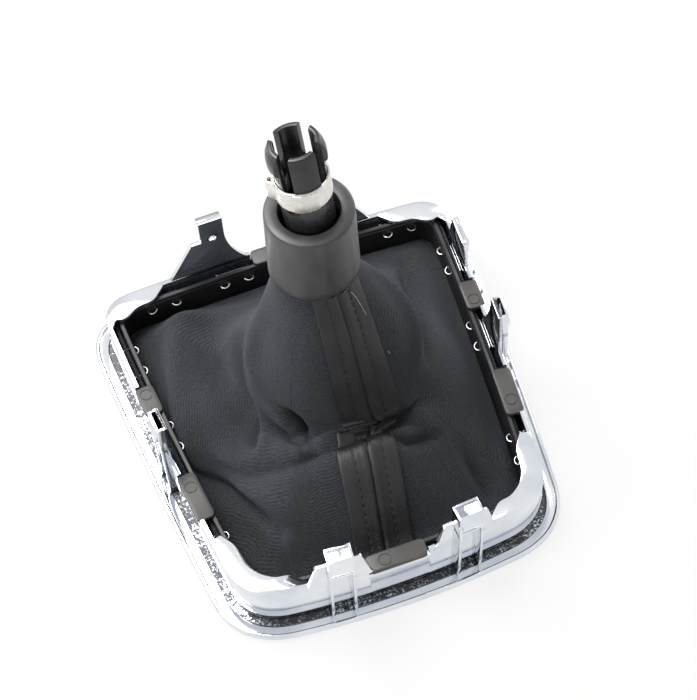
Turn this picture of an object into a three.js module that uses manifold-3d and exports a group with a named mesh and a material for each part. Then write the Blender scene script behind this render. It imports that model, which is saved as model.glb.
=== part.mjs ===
// Gear lever gaiter with its trim ring, seen inside out as it lies on a bench before fitting.
// The ring lies show face down, so +Z points to the back of the assembly. Millimetres.
// Origin: middle of the ring's footprint, on the surface that the ring lies on.
// X runs across the car, -Y is the end with the gaiter's seam.
import * as THREE from "three";
import { mergeVertices } from "three/addons/utils/BufferGeometryUtils.js";
import Module from "manifold-3d";

const wasm = await Module();
wasm.setup();

// Trim ring, plan of the wall's outer face
const wallLength = 159.4;
const backHalfWidth = 77;
const frontHalfWidth = 63.8;
const sideBow = 1;
const frontBow = 2.6;
const backBow = 1.6;
const backCornerRadius = 15;
const frontCornerRadius = 19;

// Trim ring, section
const flangeWidth = 7.5;
const flangeThickness = 2.2;
const rimHeight = 3.2;
const rimWidth = 1.6;
const grooveWidth = 2.2;
const grooveDepth = 0.9;
const undercut = 0.8;
const undercutHeight = 4.8;
const wallThickness = 2;
const wallHeight = 25;
const bezelReach = 6.6;
const bezelHeight = 4;
const shelfThickness = 2;
const shelfWidth = 7.6;

// Snap clips that stand on the ring's wall
const clipHeight = 54;
const clipWidth = 10.4;
const clipDepth = 4.8;
const clipStandOff = 1.2;
const clipWall = 1;
const clipFloor = 41;
const clipHook = 1;
const ribThickness = 1.3;
const ribFootReach = 3.2;
const frontPanelHeight = 38;
const frontPanelHalf = 9.4;
const sidePanelHeight = 43;
const sidePanelHalf = 7.4;
const panelFootSpread = 3;
const frontClipX = 26;
const sideClipYs = { rear: 43, middle: -3 };
const backClipX = 24;
const backPanelHeight = 43.5;
const backClipNeck = 10.4;
const backClipHeight = 56;
const backClipHoleRadius = 1.5;
const backClipLip = 2.6;

// Gaiter frame, a plastic hoop inside the wall with tabs that hook over it
const fitGap = 0.3;
const frameInset = 5;
const frameThickness = 2.2;
const frameBottom = 6;
const frameTop = 22.4;
const tabThickness = 2;
const tabOverhang = 0.6;
const tabCorner = 2.2;
const tabMarkRadius = 2.6;
const tabMarkDepth = 0.3;
const sideTabs = { rear: { y: 25, length: 14 }, front: { y: -24, length: 22 } };
const frontTabLength = 24;
const backTabLength = 18;

// Staples that hold the gaiter's hem to the frame
const stapleCrown = 11.4;
const stapleWire = 0.6;
const stapleWidth = 1.2;
const stapleHeight = 17;
const stapleTipReach = 1.4;
const backStapleXs = [-50.3, -17.6, 17.6, 56];
const sideStapleYs = [49, 9, -47];
const frontStapleXs = [-40, 0, 40];

// Gaiter, a cone of faced cloth turned inside out
const gaiterThickness = 1.2;
const hemTop = 20;
const collarX = 0;
const collarY = 10;
const gaiterTop = 103;
const gaiterNeckRadius = 14;
const gaiterNeckLength = 13;

// Seam strip that covers the gaiter's front seam
const stripWidth = 17;
const stripThickness = 0.8;
const stripGap = 0.6;

// Collar sleeve and the ring that ties the gaiter into it
const collarHeight = 33;
const collarTopRadius = 16.7;
const collarFootRadius = 17.3;
const collarWall = 1.7;
const collarWeb = 8;
const collarBore = 11.3;
const collarChamfer = 0.6;
const tieHeight = 7;
const tieThickness = 1.2;

// Neck of the gear knob, with its ear clamp
const neckRadius = 9.5;
const neckBore = 7.3;
const neckShankRadius = 8;
const neckBase = 66;
const neckPivot = 134;
const neckTop = 172;
const neckLeanBack = 5;
const neckLeanSide = 3.5;
const socketFloor = 112;
const slotWidth = 3;
const slotFloor = 143;
const headReach = 1.4;
const headLength = 9;
const headTaper = 4;
const clampBottom = 146;
const clampHeight = 9.3;
const clampThickness = 0.7;
const clampOverlap = 50;
const earWidth = 6;
const earReach = 2.6;

// Gear knob, head down inside the gaiter, drawn upright on the neck's axis
const knobGripRadius = 21;
const knobGripTop = 80;
const knobGripLength = 54;
const knobWaistRadius = 13;
const knobRingRadius = 22;
const knobRingHeight = 5;
const knobCapHeight = 21;
const knobCapReach = 5;

const materials = {
  chrome: new THREE.MeshStandardMaterial({ color: 0xe6e8ec, metalness: 1, roughness: 0.12 }),
  framePlastic: new THREE.MeshStandardMaterial({ color: 0x2b2a29, metalness: 0, roughness: 0.5 }),
  knit: new THREE.MeshStandardMaterial({ color: 0x2a2c30, metalness: 0, roughness: 0.9 }),
  leather: new THREE.MeshStandardMaterial({ color: 0x1b1b1c, metalness: 0, roughness: 0.45 }),
  satinPlastic: new THREE.MeshStandardMaterial({ color: 0x4a4a4c, metalness: 0, roughness: 0.4 }),
  glossPlastic: new THREE.MeshStandardMaterial({ color: 0x17181a, metalness: 0, roughness: 0.2 }),
  clampSteel: new THREE.MeshStandardMaterial({ color: 0xdcd6cf, metalness: 1, roughness: 0.3 }),
  stapleSteel: new THREE.MeshStandardMaterial({ color: 0xd8d8d6, metalness: 1, roughness: 0.25 }),
};

// Turns a closed geometry into a solid that can be joined and cut.
function solid(geometry) {
  const bare = geometry.clone();
  bare.deleteAttribute("normal");
  bare.deleteAttribute("uv");
  const merged = mergeVertices(bare, 1e-5);
  const index = merged.index.array;
  const kept = [];
  for (let i = 0; i < index.length; i += 3) {
    const [a, b, c] = [index[i], index[i + 1], index[i + 2]];
    if (a !== b && b !== c && c !== a) kept.push(a, b, c);
  }
  return new wasm.Manifold(new wasm.Mesh({
    numProp: 3,
    vertProperties: new Float32Array(merged.attributes.position.array),
    triVerts: new Uint32Array(kept),
  }));
}

function meshOf(name, body, material) {
  const { vertProperties, triVerts } = body.getMesh();
  const geometry = new THREE.BufferGeometry();
  geometry.setAttribute("position", new THREE.BufferAttribute(vertProperties, 3));
  geometry.setIndex(new THREE.BufferAttribute(triVerts, 1));
  geometry.computeVertexNormals();
  const mesh = new THREE.Mesh(geometry, material);
  mesh.name = name;
  return mesh;
}

// Skins a list of closed loops that all have the same number of points. A closed skin joins the
// last loop to the first, and an open one is capped with a fan at each end.
function skin(loops, closed) {
  const count = loops[0].length;
  const points = loops.flat();
  const faces = [];
  const last = closed ? loops.length : loops.length - 1;
  for (let row = 0; row < last; row++) {
    const next = (row + 1) % loops.length;
    for (let k = 0; k < count; k++) {
      const m = (k + 1) % count;
      const [a, b, c, d] = [row * count + k, row * count + m, next * count + m, next * count + k];
      faces.push(a, b, c, a, c, d);
    }
  }
  if (!closed) {
    [0, loops.length - 1].forEach((row, end) => {
      const middle = new THREE.Vector3();
      loops[row].forEach((p) => middle.addScaledVector(p, 1 / count));
      points.push(middle);
      for (let k = 0; k < count; k++) {
        const [a, b] = [row * count + k, row * count + ((k + 1) % count)];
        faces.push(...(end ? [points.length - 1, a, b] : [points.length - 1, b, a]));
      }
    });
  }
  const geometry = new THREE.BufferGeometry().setFromPoints(points);
  geometry.setIndex(signedVolume(points, faces) > 0 ? faces : faces.slice().reverse());
  return geometry;
}

function signedVolume(points, faces) {
  let volume = 0;
  for (let i = 0; i < faces.length; i += 3) {
    const [a, b, c] = [points[faces[i]], points[faces[i + 1]], points[faces[i + 2]]];
    volume += a.dot(new THREE.Vector3().crossVectors(b, c)) / 6;
  }
  return volume;
}

// Extrudes an outline of [x, y] pairs from one height to another.
function prism(pairs, bottom, top) {
  const shape = new THREE.Shape(pairs.map(([x, y]) => new THREE.Vector2(x, y)));
  const geometry = new THREE.ExtrudeGeometry(shape, { depth: top - bottom, bevelEnabled: false });
  return geometry.translate(0, 0, bottom);
}

function block(x0, x1, y0, y1, z0, z1) {
  const geometry = new THREE.BoxGeometry(x1 - x0, y1 - y0, z1 - z0);
  return solid(geometry.translate((x0 + x1) / 2, (y0 + y1) / 2, (z0 + z1) / 2));
}

// A lathe whose profile of [radius, z] pairs closes on itself or starts and ends on the axis.
function turned(pairs, segments) {
  const profile = pairs.map(([r, z]) => new THREE.Vector2(r, z));
  const geometry = new THREE.LatheGeometry(profile, segments);
  return geometry.rotateX(Math.PI / 2);
}

// The wall's outer face on each side of the ring, at a distance along it: how far out it lies, and
// how much it turns away from that side's own direction.
function faceAt(side, position) {
  const end = side === "front" || side === "back";
  const bow = { front: frontBow, back: backBow }[side] ?? sideBow;
  const backEdge = wallLength / 2 - backBow;
  const frontEdge = wallLength / 2 - frontBow;
  const slant = (backHalfWidth - frontHalfWidth) / (backEdge + frontEdge);
  const reach = { front: frontHalfWidth - frontCornerRadius, back: backHalfWidth - backCornerRadius }[side]
    ?? (backEdge + frontEdge - backCornerRadius - frontCornerRadius) / 2;
  const middle = end ? 0 : (backEdge - backCornerRadius - frontEdge + frontCornerRadius) / 2;
  const share = (position - middle) / reach;
  const straight = { front: frontEdge, back: backEdge }[side]
    ?? frontHalfWidth + slant * (position + frontEdge);
  const fall = -2 * bow * share / reach;
  return { out: straight + bow * (1 - share ** 2), turn: Math.atan(end ? fall : slant + fall) };
}

const sideSteps = 8;
const cornerSteps = 4;

// Closed plan of the ring at a distance in from the wall's outer face, counterclockwise from the
// front end of the right side. Every inset gives the same number of points.
function plan(inset) {
  const back = wallLength / 2 - backBow - inset;
  const front = -wallLength / 2 + frontBow + inset;
  const corner = (x, y, radius) => ({ at: new THREE.Vector2(x, y), radius: Math.max(radius - inset, 2) });
  const corners = [
    corner(frontHalfWidth - inset, front, frontCornerRadius),
    corner(backHalfWidth - inset, back, backCornerRadius),
    corner(inset - backHalfWidth, back, backCornerRadius),
    corner(inset - frontHalfWidth, front, frontCornerRadius),
  ];
  const sides = [sideBow, backBow, sideBow, frontBow].map((bow, k) => {
    const [a, b] = [corners[k], corners[(k + 1) % 4]];
    const along = b.at.clone().sub(a.at).normalize();
    const start = a.at.clone().addScaledVector(along, a.radius);
    const end = b.at.clone().addScaledVector(along, -b.radius);
    const middle = start.clone().add(end).multiplyScalar(0.5);
    middle.add(new THREE.Vector2(along.y, -along.x).multiplyScalar(2 * bow));
    return { start, middle, end };
  });
  const points = [];
  sides.forEach((side, k) => {
    const next = sides[(k + 1) % 4];
    const turn = crossing(side.middle, side.end, next.middle, next.start);
    const straight = new THREE.QuadraticBezierCurve(side.start, side.middle, side.end);
    const bend = new THREE.QuadraticBezierCurve(side.end, turn, next.start);
    points.push(...straight.getPoints(sideSteps).slice(0, -1));
    points.push(...bend.getPoints(cornerSteps).slice(0, -1));
  });
  return points;
}

// Where the line from a through b meets the line from c through d.
function crossing(a, b, c, d) {
  const u = b.clone().sub(a);
  const v = d.clone().sub(c);
  const t = (c.clone().sub(a)).cross(v) / u.cross(v);
  return a.clone().addScaledVector(u, t);
}

// Sweeps a closed section of [inset, z] pairs round the plan.
function hoop(section) {
  const loops = section.map(([inset, z]) => plan(inset).map((p) => new THREE.Vector3(p.x, p.y, z)));
  return solid(skin(loops, true));
}

// Fills the plan at an inset between two heights.
function plate(inset, bottom, top) {
  return solid(prism(plan(inset).map((p) => [p.x, p.y]), bottom, top));
}

// Puts a body that is drawn at the origin, with x along the wall and y outwards, on the wall.
function onWall(body, side, position) {
  const { out, turn } = faceAt(side, position);
  const matrix = new THREE.Matrix4();
  if (side === "front") matrix.makeRotationZ(Math.PI - turn).setPosition(position, -out, 0);
  if (side === "back") matrix.makeRotationZ(turn).setPosition(position, out, 0);
  if (side === "right") matrix.makeRotationZ(-Math.PI / 2 - turn).setPosition(out, position, 0);
  if (side === "left") matrix.makeRotationZ(Math.PI / 2 + turn).setPosition(-out, position, 0);
  return body.transform(matrix.elements);
}

// Raised panel with a box tower, two ribs and a hook, as a front or side clip has it.
function snapClip(panelHeight, panelHalf) {
  const half = clipWidth / 2;
  const inner = clipStandOff;
  const outer = clipStandOff + clipDepth;
  const panel = solid(prism([
    [-panelHalf - panelFootSpread, wallHeight - 2], [panelHalf + panelFootSpread, wallHeight - 2],
    [panelHalf + panelFootSpread, wallHeight], [panelHalf, panelHeight],
    [-panelHalf, panelHeight], [-panelHalf - panelFootSpread, wallHeight],
  ], 0, wallThickness).rotateX(Math.PI / 2));
  const rib = solid(prism([
    [-undercut / 2, flangeThickness - 0.4], [ribFootReach, flangeThickness - 0.4],
    [ribFootReach + 0.6, undercutHeight + 3], [outer, clipFloor + 2], [-undercut / 2, clipFloor + 2],
  ], 0, ribThickness).rotateX(Math.PI / 2).rotateZ(Math.PI / 2));
  const tower = block(-half, half, -undercut / 2, outer, clipFloor - 3, clipHeight)
    .subtract(block(-half + clipWall, half - clipWall, inner, outer - clipWall, clipFloor, clipHeight + 1))
    .subtract(block(-half - 1, half + 1, -undercut, inner - clipWall, clipFloor + 2, clipHeight + 1));
  const slot = block(-half + clipWall, half - clipWall, outer - 2 * clipWall, outer + 1,
    clipFloor, clipFloor + clipWall);
  const hook = solid(prism([
    [outer - clipWall / 2, clipFloor + 2], [outer + clipHook, clipFloor + 3],
    [outer + clipHook, clipFloor + 6], [outer - clipWall / 2, clipHeight - 3],
  ], 0, clipWidth - 2 * clipWall).rotateX(Math.PI / 2).rotateZ(Math.PI / 2)
    .translate(half - clipWall - (clipWidth - 2 * clipWall), 0, 0));
  return panel.add(tower).add(rib.translate([-half, 0, 0])).add(rib.translate([half - ribThickness, 0, 0]))
    .add(hook).subtract(slot);
}

// Tall flat back clip: a wide foot, a narrow neck and a lip that turns outwards. side is -1 or 1.
function backClip(side) {
  const neck = backClipNeck / 2;
  const outline = new THREE.Shape();
  outline.moveTo(-neck - 15, wallHeight - 2);
  outline.lineTo(-neck - 15, wallHeight);
  outline.lineTo(-neck - 4.2, backPanelHeight);
  outline.lineTo(-neck, backPanelHeight);
  outline.lineTo(-neck, backClipHeight);
  outline.lineTo(neck, backClipHeight);
  outline.lineTo(neck, backPanelHeight + 2);
  outline.quadraticCurveTo(neck + 0.5, wallHeight + 7, neck + 8, wallHeight);
  outline.lineTo(neck + 8, wallHeight - 2);
  const sheet = new THREE.ExtrudeGeometry(outline, {
    depth: wallThickness, bevelEnabled: false, curveSegments: 8 }).rotateX(Math.PI / 2);
  const lip = prism([
    [-0.4, backClipHeight - 5], [backClipLip, backClipHeight - 2.6],
    [backClipLip, backClipHeight - 1], [0, backClipHeight], [-0.4, backClipHeight],
  ], -neck, neck).rotateX(Math.PI / 2).rotateZ(Math.PI / 2);
  const hole = new THREE.CylinderGeometry(backClipHoleRadius, backClipHoleRadius, 3 * wallThickness, 16)
    .translate(0, -wallThickness / 2, backPanelHeight + 1);
  const body = solid(sheet).add(solid(lip)).subtract(solid(hole));
  return side > 0 ? body.mirror([1, 0, 0]) : body;
}

// Ledge across one corner of the wall's top, with the stepped inner edge that clears the frame.
function cornerShelf(side, end) {
  const width = shelfWidth;
  const corner = end < 0
    ? [frontHalfWidth, frontBow - wallLength / 2, frontCornerRadius]
    : [backHalfWidth, wallLength / 2 - backBow, backCornerRadius];
  const [x, y, r] = corner;
  const inwards = -end;
  const along = end < 0 ? r + 14 : r + 2;
  const across = end < 0 ? r + 8 : r + 14;
  const outline = [
    [x + 6, y + end * 6], [x + 6, y + inwards * along], [x - 1.5, y + inwards * along],
    [x - width + 2, y + inwards * (along - 6)], [x - width, y + inwards * (r - 3)],
    [x - width - 3, y + inwards * (width + 4)], [x - width - 8, y + inwards * (width + 0.5)],
    [x - across + 6, y + inwards * width], [x - across, y + inwards * 1.5], [x - across, y + end * 6],
  ].map(([px, py]) => [side * px, py]);
  return solid(prism(outline, wallHeight - shelfThickness, wallHeight));
}

function trimRing() {
  const rimTop = rimHeight - 0.5;
  const grooveFloor = flangeThickness - grooveDepth;
  let ring = hoop([
    [-flangeWidth, 0.9], [-flangeWidth + 0.8, 0.2], [-flangeWidth + 2.4, 0], [1.4, 0], [3.8, 0.7],
    [bezelReach, 2.6], [bezelReach, bezelHeight - 0.5], [bezelReach - 0.6, bezelHeight],
    [wallThickness + 0.4, bezelHeight], [wallThickness, bezelHeight + 0.4],
    [wallThickness, wallHeight], [0.5, wallHeight], [0, wallHeight - 0.5], [0, undercutHeight],
    [undercut, undercutHeight], [undercut, grooveFloor], [-grooveWidth, grooveFloor],
    [-grooveWidth, flangeThickness], [-flangeWidth + rimWidth, flangeThickness],
    [-flangeWidth + rimWidth - 0.4, rimHeight], [-flangeWidth + 0.5, rimHeight], [-flangeWidth, rimTop],
  ]);
  const outside = plate(0, 0, wallHeight + 1);
  for (const side of [-1, 1]) {
    for (const end of [-1, 1]) ring = ring.add(cornerShelf(side, end).intersect(outside));
    ring = ring.add(onWall(snapClip(frontPanelHeight, frontPanelHalf), "front", side * frontClipX));
    ring = ring.add(onWall(backClip(side), "back", side * backClipX));
  }
  ring = ring.add(onWall(snapClip(sidePanelHeight, sidePanelHalf), "right", sideClipYs.rear));
  ring = ring.add(onWall(snapClip(sidePanelHeight, sidePanelHalf), "right", sideClipYs.middle));
  ring = ring.add(onWall(snapClip(sidePanelHeight, sidePanelHalf), "left", sideClipYs.middle));
  for (const tab of tabs) ring = ring.subtract(tabBody(tab, fitGap));
  return meshOf("trim_ring", ring, materials.chrome);
}

// Where the frame's tabs hook over the ring's wall.
const tabs = [
  ...["left", "right"].flatMap((side) => [
    { side, at: sideTabs.rear.y, length: sideTabs.rear.length },
    { side, at: sideTabs.front.y, length: sideTabs.front.length },
  ]),
  { side: "front", at: 0, length: frontTabLength },
  { side: "back", at: 0, length: backTabLength },
];

// A tab with round outer corners, or the room that it needs when margin is above zero.
function tabBody({ side, at, length }, margin) {
  const half = length / 2 + margin;
  const reach = tabOverhang + margin;
  const root = -(frameInset + frameThickness) + 0.2;
  const outline = new THREE.Shape();
  outline.moveTo(-half, root - margin);
  outline.lineTo(half, root - margin);
  outline.lineTo(half, reach - tabCorner);
  outline.quadraticCurveTo(half, reach, half - tabCorner, reach);
  outline.lineTo(tabCorner - half, reach);
  outline.quadraticCurveTo(-half, reach, -half, reach - tabCorner);
  const room = margin > 0 ? 4 : 0;
  const bottom = frameTop - 0.4 - margin;
  const geometry = new THREE.ExtrudeGeometry(outline, {
    depth: tabThickness + room + margin, bevelEnabled: false, curveSegments: 4 });
  return onWall(solid(geometry.translate(0, 0, bottom)), side, at);
}

function gaiterFrame() {
  const inner = frameInset + frameThickness;
  let frame = hoop([
    [frameInset, frameBottom + 0.4], [frameInset + 0.4, frameBottom], [inner - 0.4, frameBottom],
    [inner, frameBottom + 0.4], [inner, frameTop - 0.4], [inner - 0.4, frameTop],
    [frameInset + 0.4, frameTop], [frameInset, frameTop - 0.4],
  ]);
  for (const tab of tabs) {
    frame = frame.add(tabBody(tab, 0));
    const mark = new THREE.CylinderGeometry(tabMarkRadius, tabMarkRadius, 2 * tabMarkDepth, 20)
      .rotateX(Math.PI / 2).translate(tab.length / 5, -wallThickness - 1, frameTop - 0.4 + tabThickness);
    frame = frame.subtract(onWall(solid(mark), tab.side, tab.at));
  }
  return frame;
}

// Staple as a strip of wire in plan: its crown lies on the hem, and its clinched tips curl inwards.
const stapleOuter = frameInset - gaiterThickness - 3 * fitGap - stapleWire;
const stapleInner = frameInset + frameThickness + stapleTipReach;
const stapleCentre = [
  [stapleCrown / 2 - 3.4, -stapleInner + 0.8], [stapleCrown / 2 - 2.2, -stapleInner],
  [stapleCrown / 2 - 0.9, -stapleInner + 0.3], [stapleCrown / 2 - stapleWire / 2, -stapleInner + 1.2],
  [stapleCrown / 2 - stapleWire / 2, -stapleOuter - stapleWire / 2],
];

function stapleBody() {
  const right = stapleCentre;
  const line = [...right, ...right.slice().reverse().map(([x, y]) => [-x, y])]
    .map(([x, y]) => new THREE.Vector2(x, y));
  const outline = [1, -1].map((hand) => line.map((point, k) => {
    const before = line[Math.max(k - 1, 0)];
    const after = line[Math.min(k + 1, line.length - 1)];
    const entering = point.clone().sub(before).normalize();
    const leaving = after.clone().sub(point).normalize();
    const along = entering.add(leaving).normalize();
    const segment = (k === line.length - 1 ? point.clone().sub(before) : after.clone().sub(point)).normalize();
    const stretch = 1 / Math.max(along.dot(segment), 0.5);
    return [point.x - along.y * hand * stretch * stapleWire / 2,
      point.y + along.x * hand * stretch * stapleWire / 2];
  }));
  const pairs = [...outline[0], ...outline[1].reverse()];
  return solid(prism(pairs, stapleHeight - stapleWidth / 2, stapleHeight + stapleWidth / 2));
}

// Room for a staple's two legs through the hem and the frame.
function stapleHoles() {
  const edge = stapleCrown / 2;
  const [bottom, top] = [stapleHeight - stapleWidth / 2 - fitGap, stapleHeight + stapleWidth / 2 + fitGap];
  const leg = block(edge - stapleWire - fitGap, edge + fitGap, -stapleInner - 2, -stapleOuter + 1, bottom, top);
  return leg.add(leg.mirror([1, 0, 0]));
}

const staples = [
  ...backStapleXs.map((at) => ({ side: "back", at })),
  ...sideStapleYs.flatMap((at) => [{ side: "left", at }, { side: "right", at }]),
  ...frontStapleXs.map((at) => ({ side: "front", at })),
];

// The gaiter's fall from the collar to the frame, at eight bearings about the neck: [bearing,
// then pairs of reach and rise]. Reach 0 is the collar and 1 the frame, rise 1 is the gaiter's
// top and 0 its turn under the frame.
const falls = [
  [-90, 0.10, 0.86, 0.22, 0.64, 0.32, 0.45, 0.32, 0.34, 0.40, 0.30, 0.56, 0.35, 0.77, 0.23, 0.92, 0.07],
  [-60, 0.12, 0.85, 0.26, 0.62, 0.37, 0.42, 0.38, 0.31, 0.44, 0.28, 0.57, 0.28, 0.76, 0.18, 0.92, 0.06],
  [-25, 0.13, 0.84, 0.30, 0.66, 0.44, 0.47, 0.52, 0.32, 0.62, 0.24, 0.74, 0.17, 0.86, 0.10, 0.95, 0.05],
  [15, 0.12, 0.82, 0.26, 0.62, 0.40, 0.44, 0.52, 0.32, 0.64, 0.23, 0.76, 0.15, 0.87, 0.09, 0.95, 0.05],
  [60, 0.10, 0.80, 0.22, 0.58, 0.36, 0.40, 0.50, 0.27, 0.63, 0.18, 0.76, 0.12, 0.87, 0.08, 0.95, 0.05],
  [120, 0.09, 0.80, 0.20, 0.58, 0.34, 0.40, 0.48, 0.27, 0.62, 0.17, 0.75, 0.11, 0.87, 0.07, 0.95, 0.05],
  [165, 0.08, 0.82, 0.17, 0.60, 0.28, 0.40, 0.40, 0.27, 0.55, 0.20, 0.70, 0.16, 0.84, 0.11, 0.95, 0.05],
  [-155, 0.08, 0.84, 0.17, 0.62, 0.25, 0.44, 0.31, 0.31, 0.42, 0.24, 0.58, 0.22, 0.78, 0.16, 0.94, 0.06],
  [-122, 0.10, 0.86, 0.22, 0.65, 0.32, 0.46, 0.32, 0.35, 0.40, 0.29, 0.54, 0.34, 0.74, 0.25, 0.91, 0.08],
];

// Soft valleys between the folds: bearing, half width in degrees, reach, half length, depth in mm.
const valleys = [
  [150, 13, 0.55, 0.3, 5],
  [-165, 9, 0.34, 0.2, 5],
  [-145, 8, 0.72, 0.16, 5],
  [-50, 9, 0.55, 0.18, 4],
  [20, 12, 0.5, 0.25, 3],
  [85, 13, 0.5, 0.3, 4],
];

const fallSteps = 20;

// Smooth periodic blend of the falls at a bearing in degrees.
function fallAt(bearing) {
  const sorted = falls.slice().sort((a, b) => a[0] - b[0]);
  const count = sorted.length;
  let k = sorted.findIndex((fall) => fall[0] > bearing);
  if (k < 0) k = 0;
  const wrapped = (index) => {
    const turn = Math.floor(index / count);
    const fall = sorted[index - turn * count];
    return [fall[0] + 360 * turn, ...fall.slice(1)];
  };
  const base = k === 0 && bearing > sorted[0][0] ? count : k;
  const [before, from, to, after] = [-2, -1, 0, 1].map((step) => wrapped(base + step));
  const t = (bearing - from[0]) / (to[0] - from[0]);
  return from.slice(1).map((value, n) => {
    const [a, b, c, d] = [before[n + 1], value, to[n + 1], after[n + 1]];
    return 0.5 * (2 * b + (c - a) * t + (2 * a - 5 * b + 4 * c - d) * t * t
      + (3 * b - 3 * c + d - a) * t * t * t);
  });
}

const hemInner = frameInset + frameThickness + fitGap + gaiterThickness / 2;
const hemOuter = frameInset - fitGap - gaiterThickness / 2;
const hemBottom = frameBottom - fitGap - gaiterThickness / 2;

// Middle line of the gaiter's wall on one bearing, as [radius, z] points from its top in the
// collar down to the foot, where it meets the frame's inner face.
function fallLine(foot) {
  const bearing = THREE.MathUtils.radToDeg(Math.atan2(foot.y - collarY, foot.x - collarX));
  const edge = Math.hypot(foot.x - collarX, foot.y - collarY);
  const span = edge - gaiterNeckRadius;
  const drop = gaiterTop - hemBottom;
  const fall = fallAt(bearing);
  const roundSpan = (wallLength + backHalfWidth + frontHalfWidth) / 4 - hemInner - gaiterNeckRadius;
  const knots = [new THREE.Vector2(gaiterNeckRadius, gaiterTop)];
  for (let n = 0; n < fall.length; n += 2) {
    const squareness = fall[n] ** 2.5;
    const out = fall[n] * (roundSpan + (span - roundSpan) * squareness);
    knots.push(new THREE.Vector2(gaiterNeckRadius + out, hemBottom + fall[n + 1] * drop));
  }
  knots.push(new THREE.Vector2(edge, hemBottom + 2.4));
  return new THREE.SplineCurve(knots).getPoints(fallSteps).map((p) => {
    const reach = (p.x - gaiterNeckRadius) / span;
    valleys.forEach(([at, width, middle, length, depth]) => {
      const off = ((bearing - at + 540) % 360) - 180;
      p.y -= depth * Math.exp(-((off / width) ** 2) - ((reach - middle) / length) ** 2);
    });
    return p;
  });
}

// Points a distance to one side of a line of [radius, z] points.
function offsetLine(line, distance) {
  return line.map((point, k) => {
    const before = line[Math.max(k - 1, 0)];
    const after = line[Math.min(k + 1, line.length - 1)];
    const along = after.clone().sub(before).normalize();
    return new THREE.Vector2(point.x - along.y * distance, point.y + along.x * distance);
  });
}

// A point at a radius from the neck, on the bearing of a foot.
function onBearing(foot, point) {
  const out = new THREE.Vector2(foot.x - collarX, foot.y - collarY).normalize();
  return new THREE.Vector3(collarX + out.x * point.x, collarY + out.y * point.x, point.y);
}

// One cross-section of the gaiter: neck, fall, the turn under the frame, and the hem outside it.
function gaiterColumn(foot, index, halfThickness) {
  const edge = Math.hypot(foot.x - collarX, foot.y - collarY);
  const neck = [gaiterNeckLength, 4].map((rise) => new THREE.Vector2(gaiterNeckRadius, gaiterTop + rise));
  const hem = [
    [hemInner - 0.15, hemBottom + 0.9], [hemInner - 0.9, hemBottom], [hemOuter + 0.9, hemBottom],
    [hemOuter + 0.15, hemBottom + 0.9], [hemOuter, hemBottom + 2], [hemOuter, hemTop],
  ].map(([inset, z]) => new THREE.Vector2(edge + hemInner - inset, z));
  const line = [...neck, ...fallLine(foot), ...hem];
  const hemStart = line.length - hem.length;
  const sides = [-1, 1].map((hand) => offsetLine(line, hand * halfThickness).map((point, k) => {
    if (k < hemStart) return onBearing(foot, point);
    const p = plan(edge + hemInner - point.x)[index];
    return new THREE.Vector3(p.x, p.y, point.y);
  }));
  return [...sides[0], ...sides[1].reverse()];
}

function gaiterBody(halfThickness = gaiterThickness / 2) {
  return solid(skin(plan(hemInner).map((foot, k) => gaiterColumn(foot, k, halfThickness)), true));
}

// Leather strip of even width over the front seam, lying just above the cloth and trimmed
// where a facet of the cloth would reach it.
function seamStrip() {
  const halfSteps = 2;
  const middle = fallLine(frontFoot(0)).slice(1, -1);
  const rows = [];
  for (let k = -halfSteps; k <= halfSteps; k++) {
    const aside = (k / halfSteps) * stripWidth / 2;
    const [under, over] = [0, stripThickness].map((lift) => middle.map((point, row) => {
      const foot = frontFoot(aside / point.x);
      const raised = offsetLine(fallLine(foot), gaiterThickness / 2 + stripGap + lift);
      return onBearing(foot, raised[row + 1]);
    }));
    rows.push([...over, ...under.reverse()]);
  }
  const strip = solid(skin(rows, false)).subtract(gaiterBody(gaiterThickness / 2 + fitGap));
  return meshOf("seam_strip", strip, materials.leather);
}

// Where a bearing, as an angle away from straight ahead, meets the frame's front inner face.
function frontFoot(angle) {
  const ahead = collarY + faceAt("front", 0).out - hemInner;
  const x = collarX + Math.tan(angle) * ahead;
  return new THREE.Vector2(x, hemInner - faceAt("front", x).out);
}

function stapleMeshes() {
  return staples.map(({ side, at }, k) => {
    const name = `staple_${String(k + 1).padStart(2, "0")}`;
    return meshOf(name, onWall(stapleBody(), side, at), materials.stapleSteel);
  });
}

function collarSleeve() {
  const top = gaiterTop + collarHeight;
  const skirt = collarFootRadius - collarWall;
  return meshOf("collar_sleeve", solid(turned([
    [skirt, gaiterTop], [collarFootRadius - collarChamfer, gaiterTop], [collarFootRadius, gaiterTop + collarChamfer],
    [collarTopRadius, top - collarChamfer], [collarTopRadius - collarChamfer, top],
    [collarBore + collarChamfer, top], [collarBore, top - collarChamfer], [collarBore, top - collarWeb],
    [skirt, top - collarWeb], [skirt, gaiterTop],
  ], 48)).translate([collarX, collarY, 0]), materials.satinPlastic);
}

// Hoop inside the gaiter's neck that presses the cloth against the collar's skirt.
function tieRing() {
  const outer = gaiterNeckRadius - gaiterThickness / 2 - fitGap;
  const inner = outer - tieThickness;
  const bottom = gaiterTop + 3;
  return meshOf("gaiter_tie_ring", solid(turned([
    [inner, bottom], [outer, bottom], [outer, bottom + tieHeight], [inner, bottom + tieHeight], [inner, bottom],
  ], 40)).translate([collarX, collarY, 0]), materials.framePlastic);
}

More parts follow.
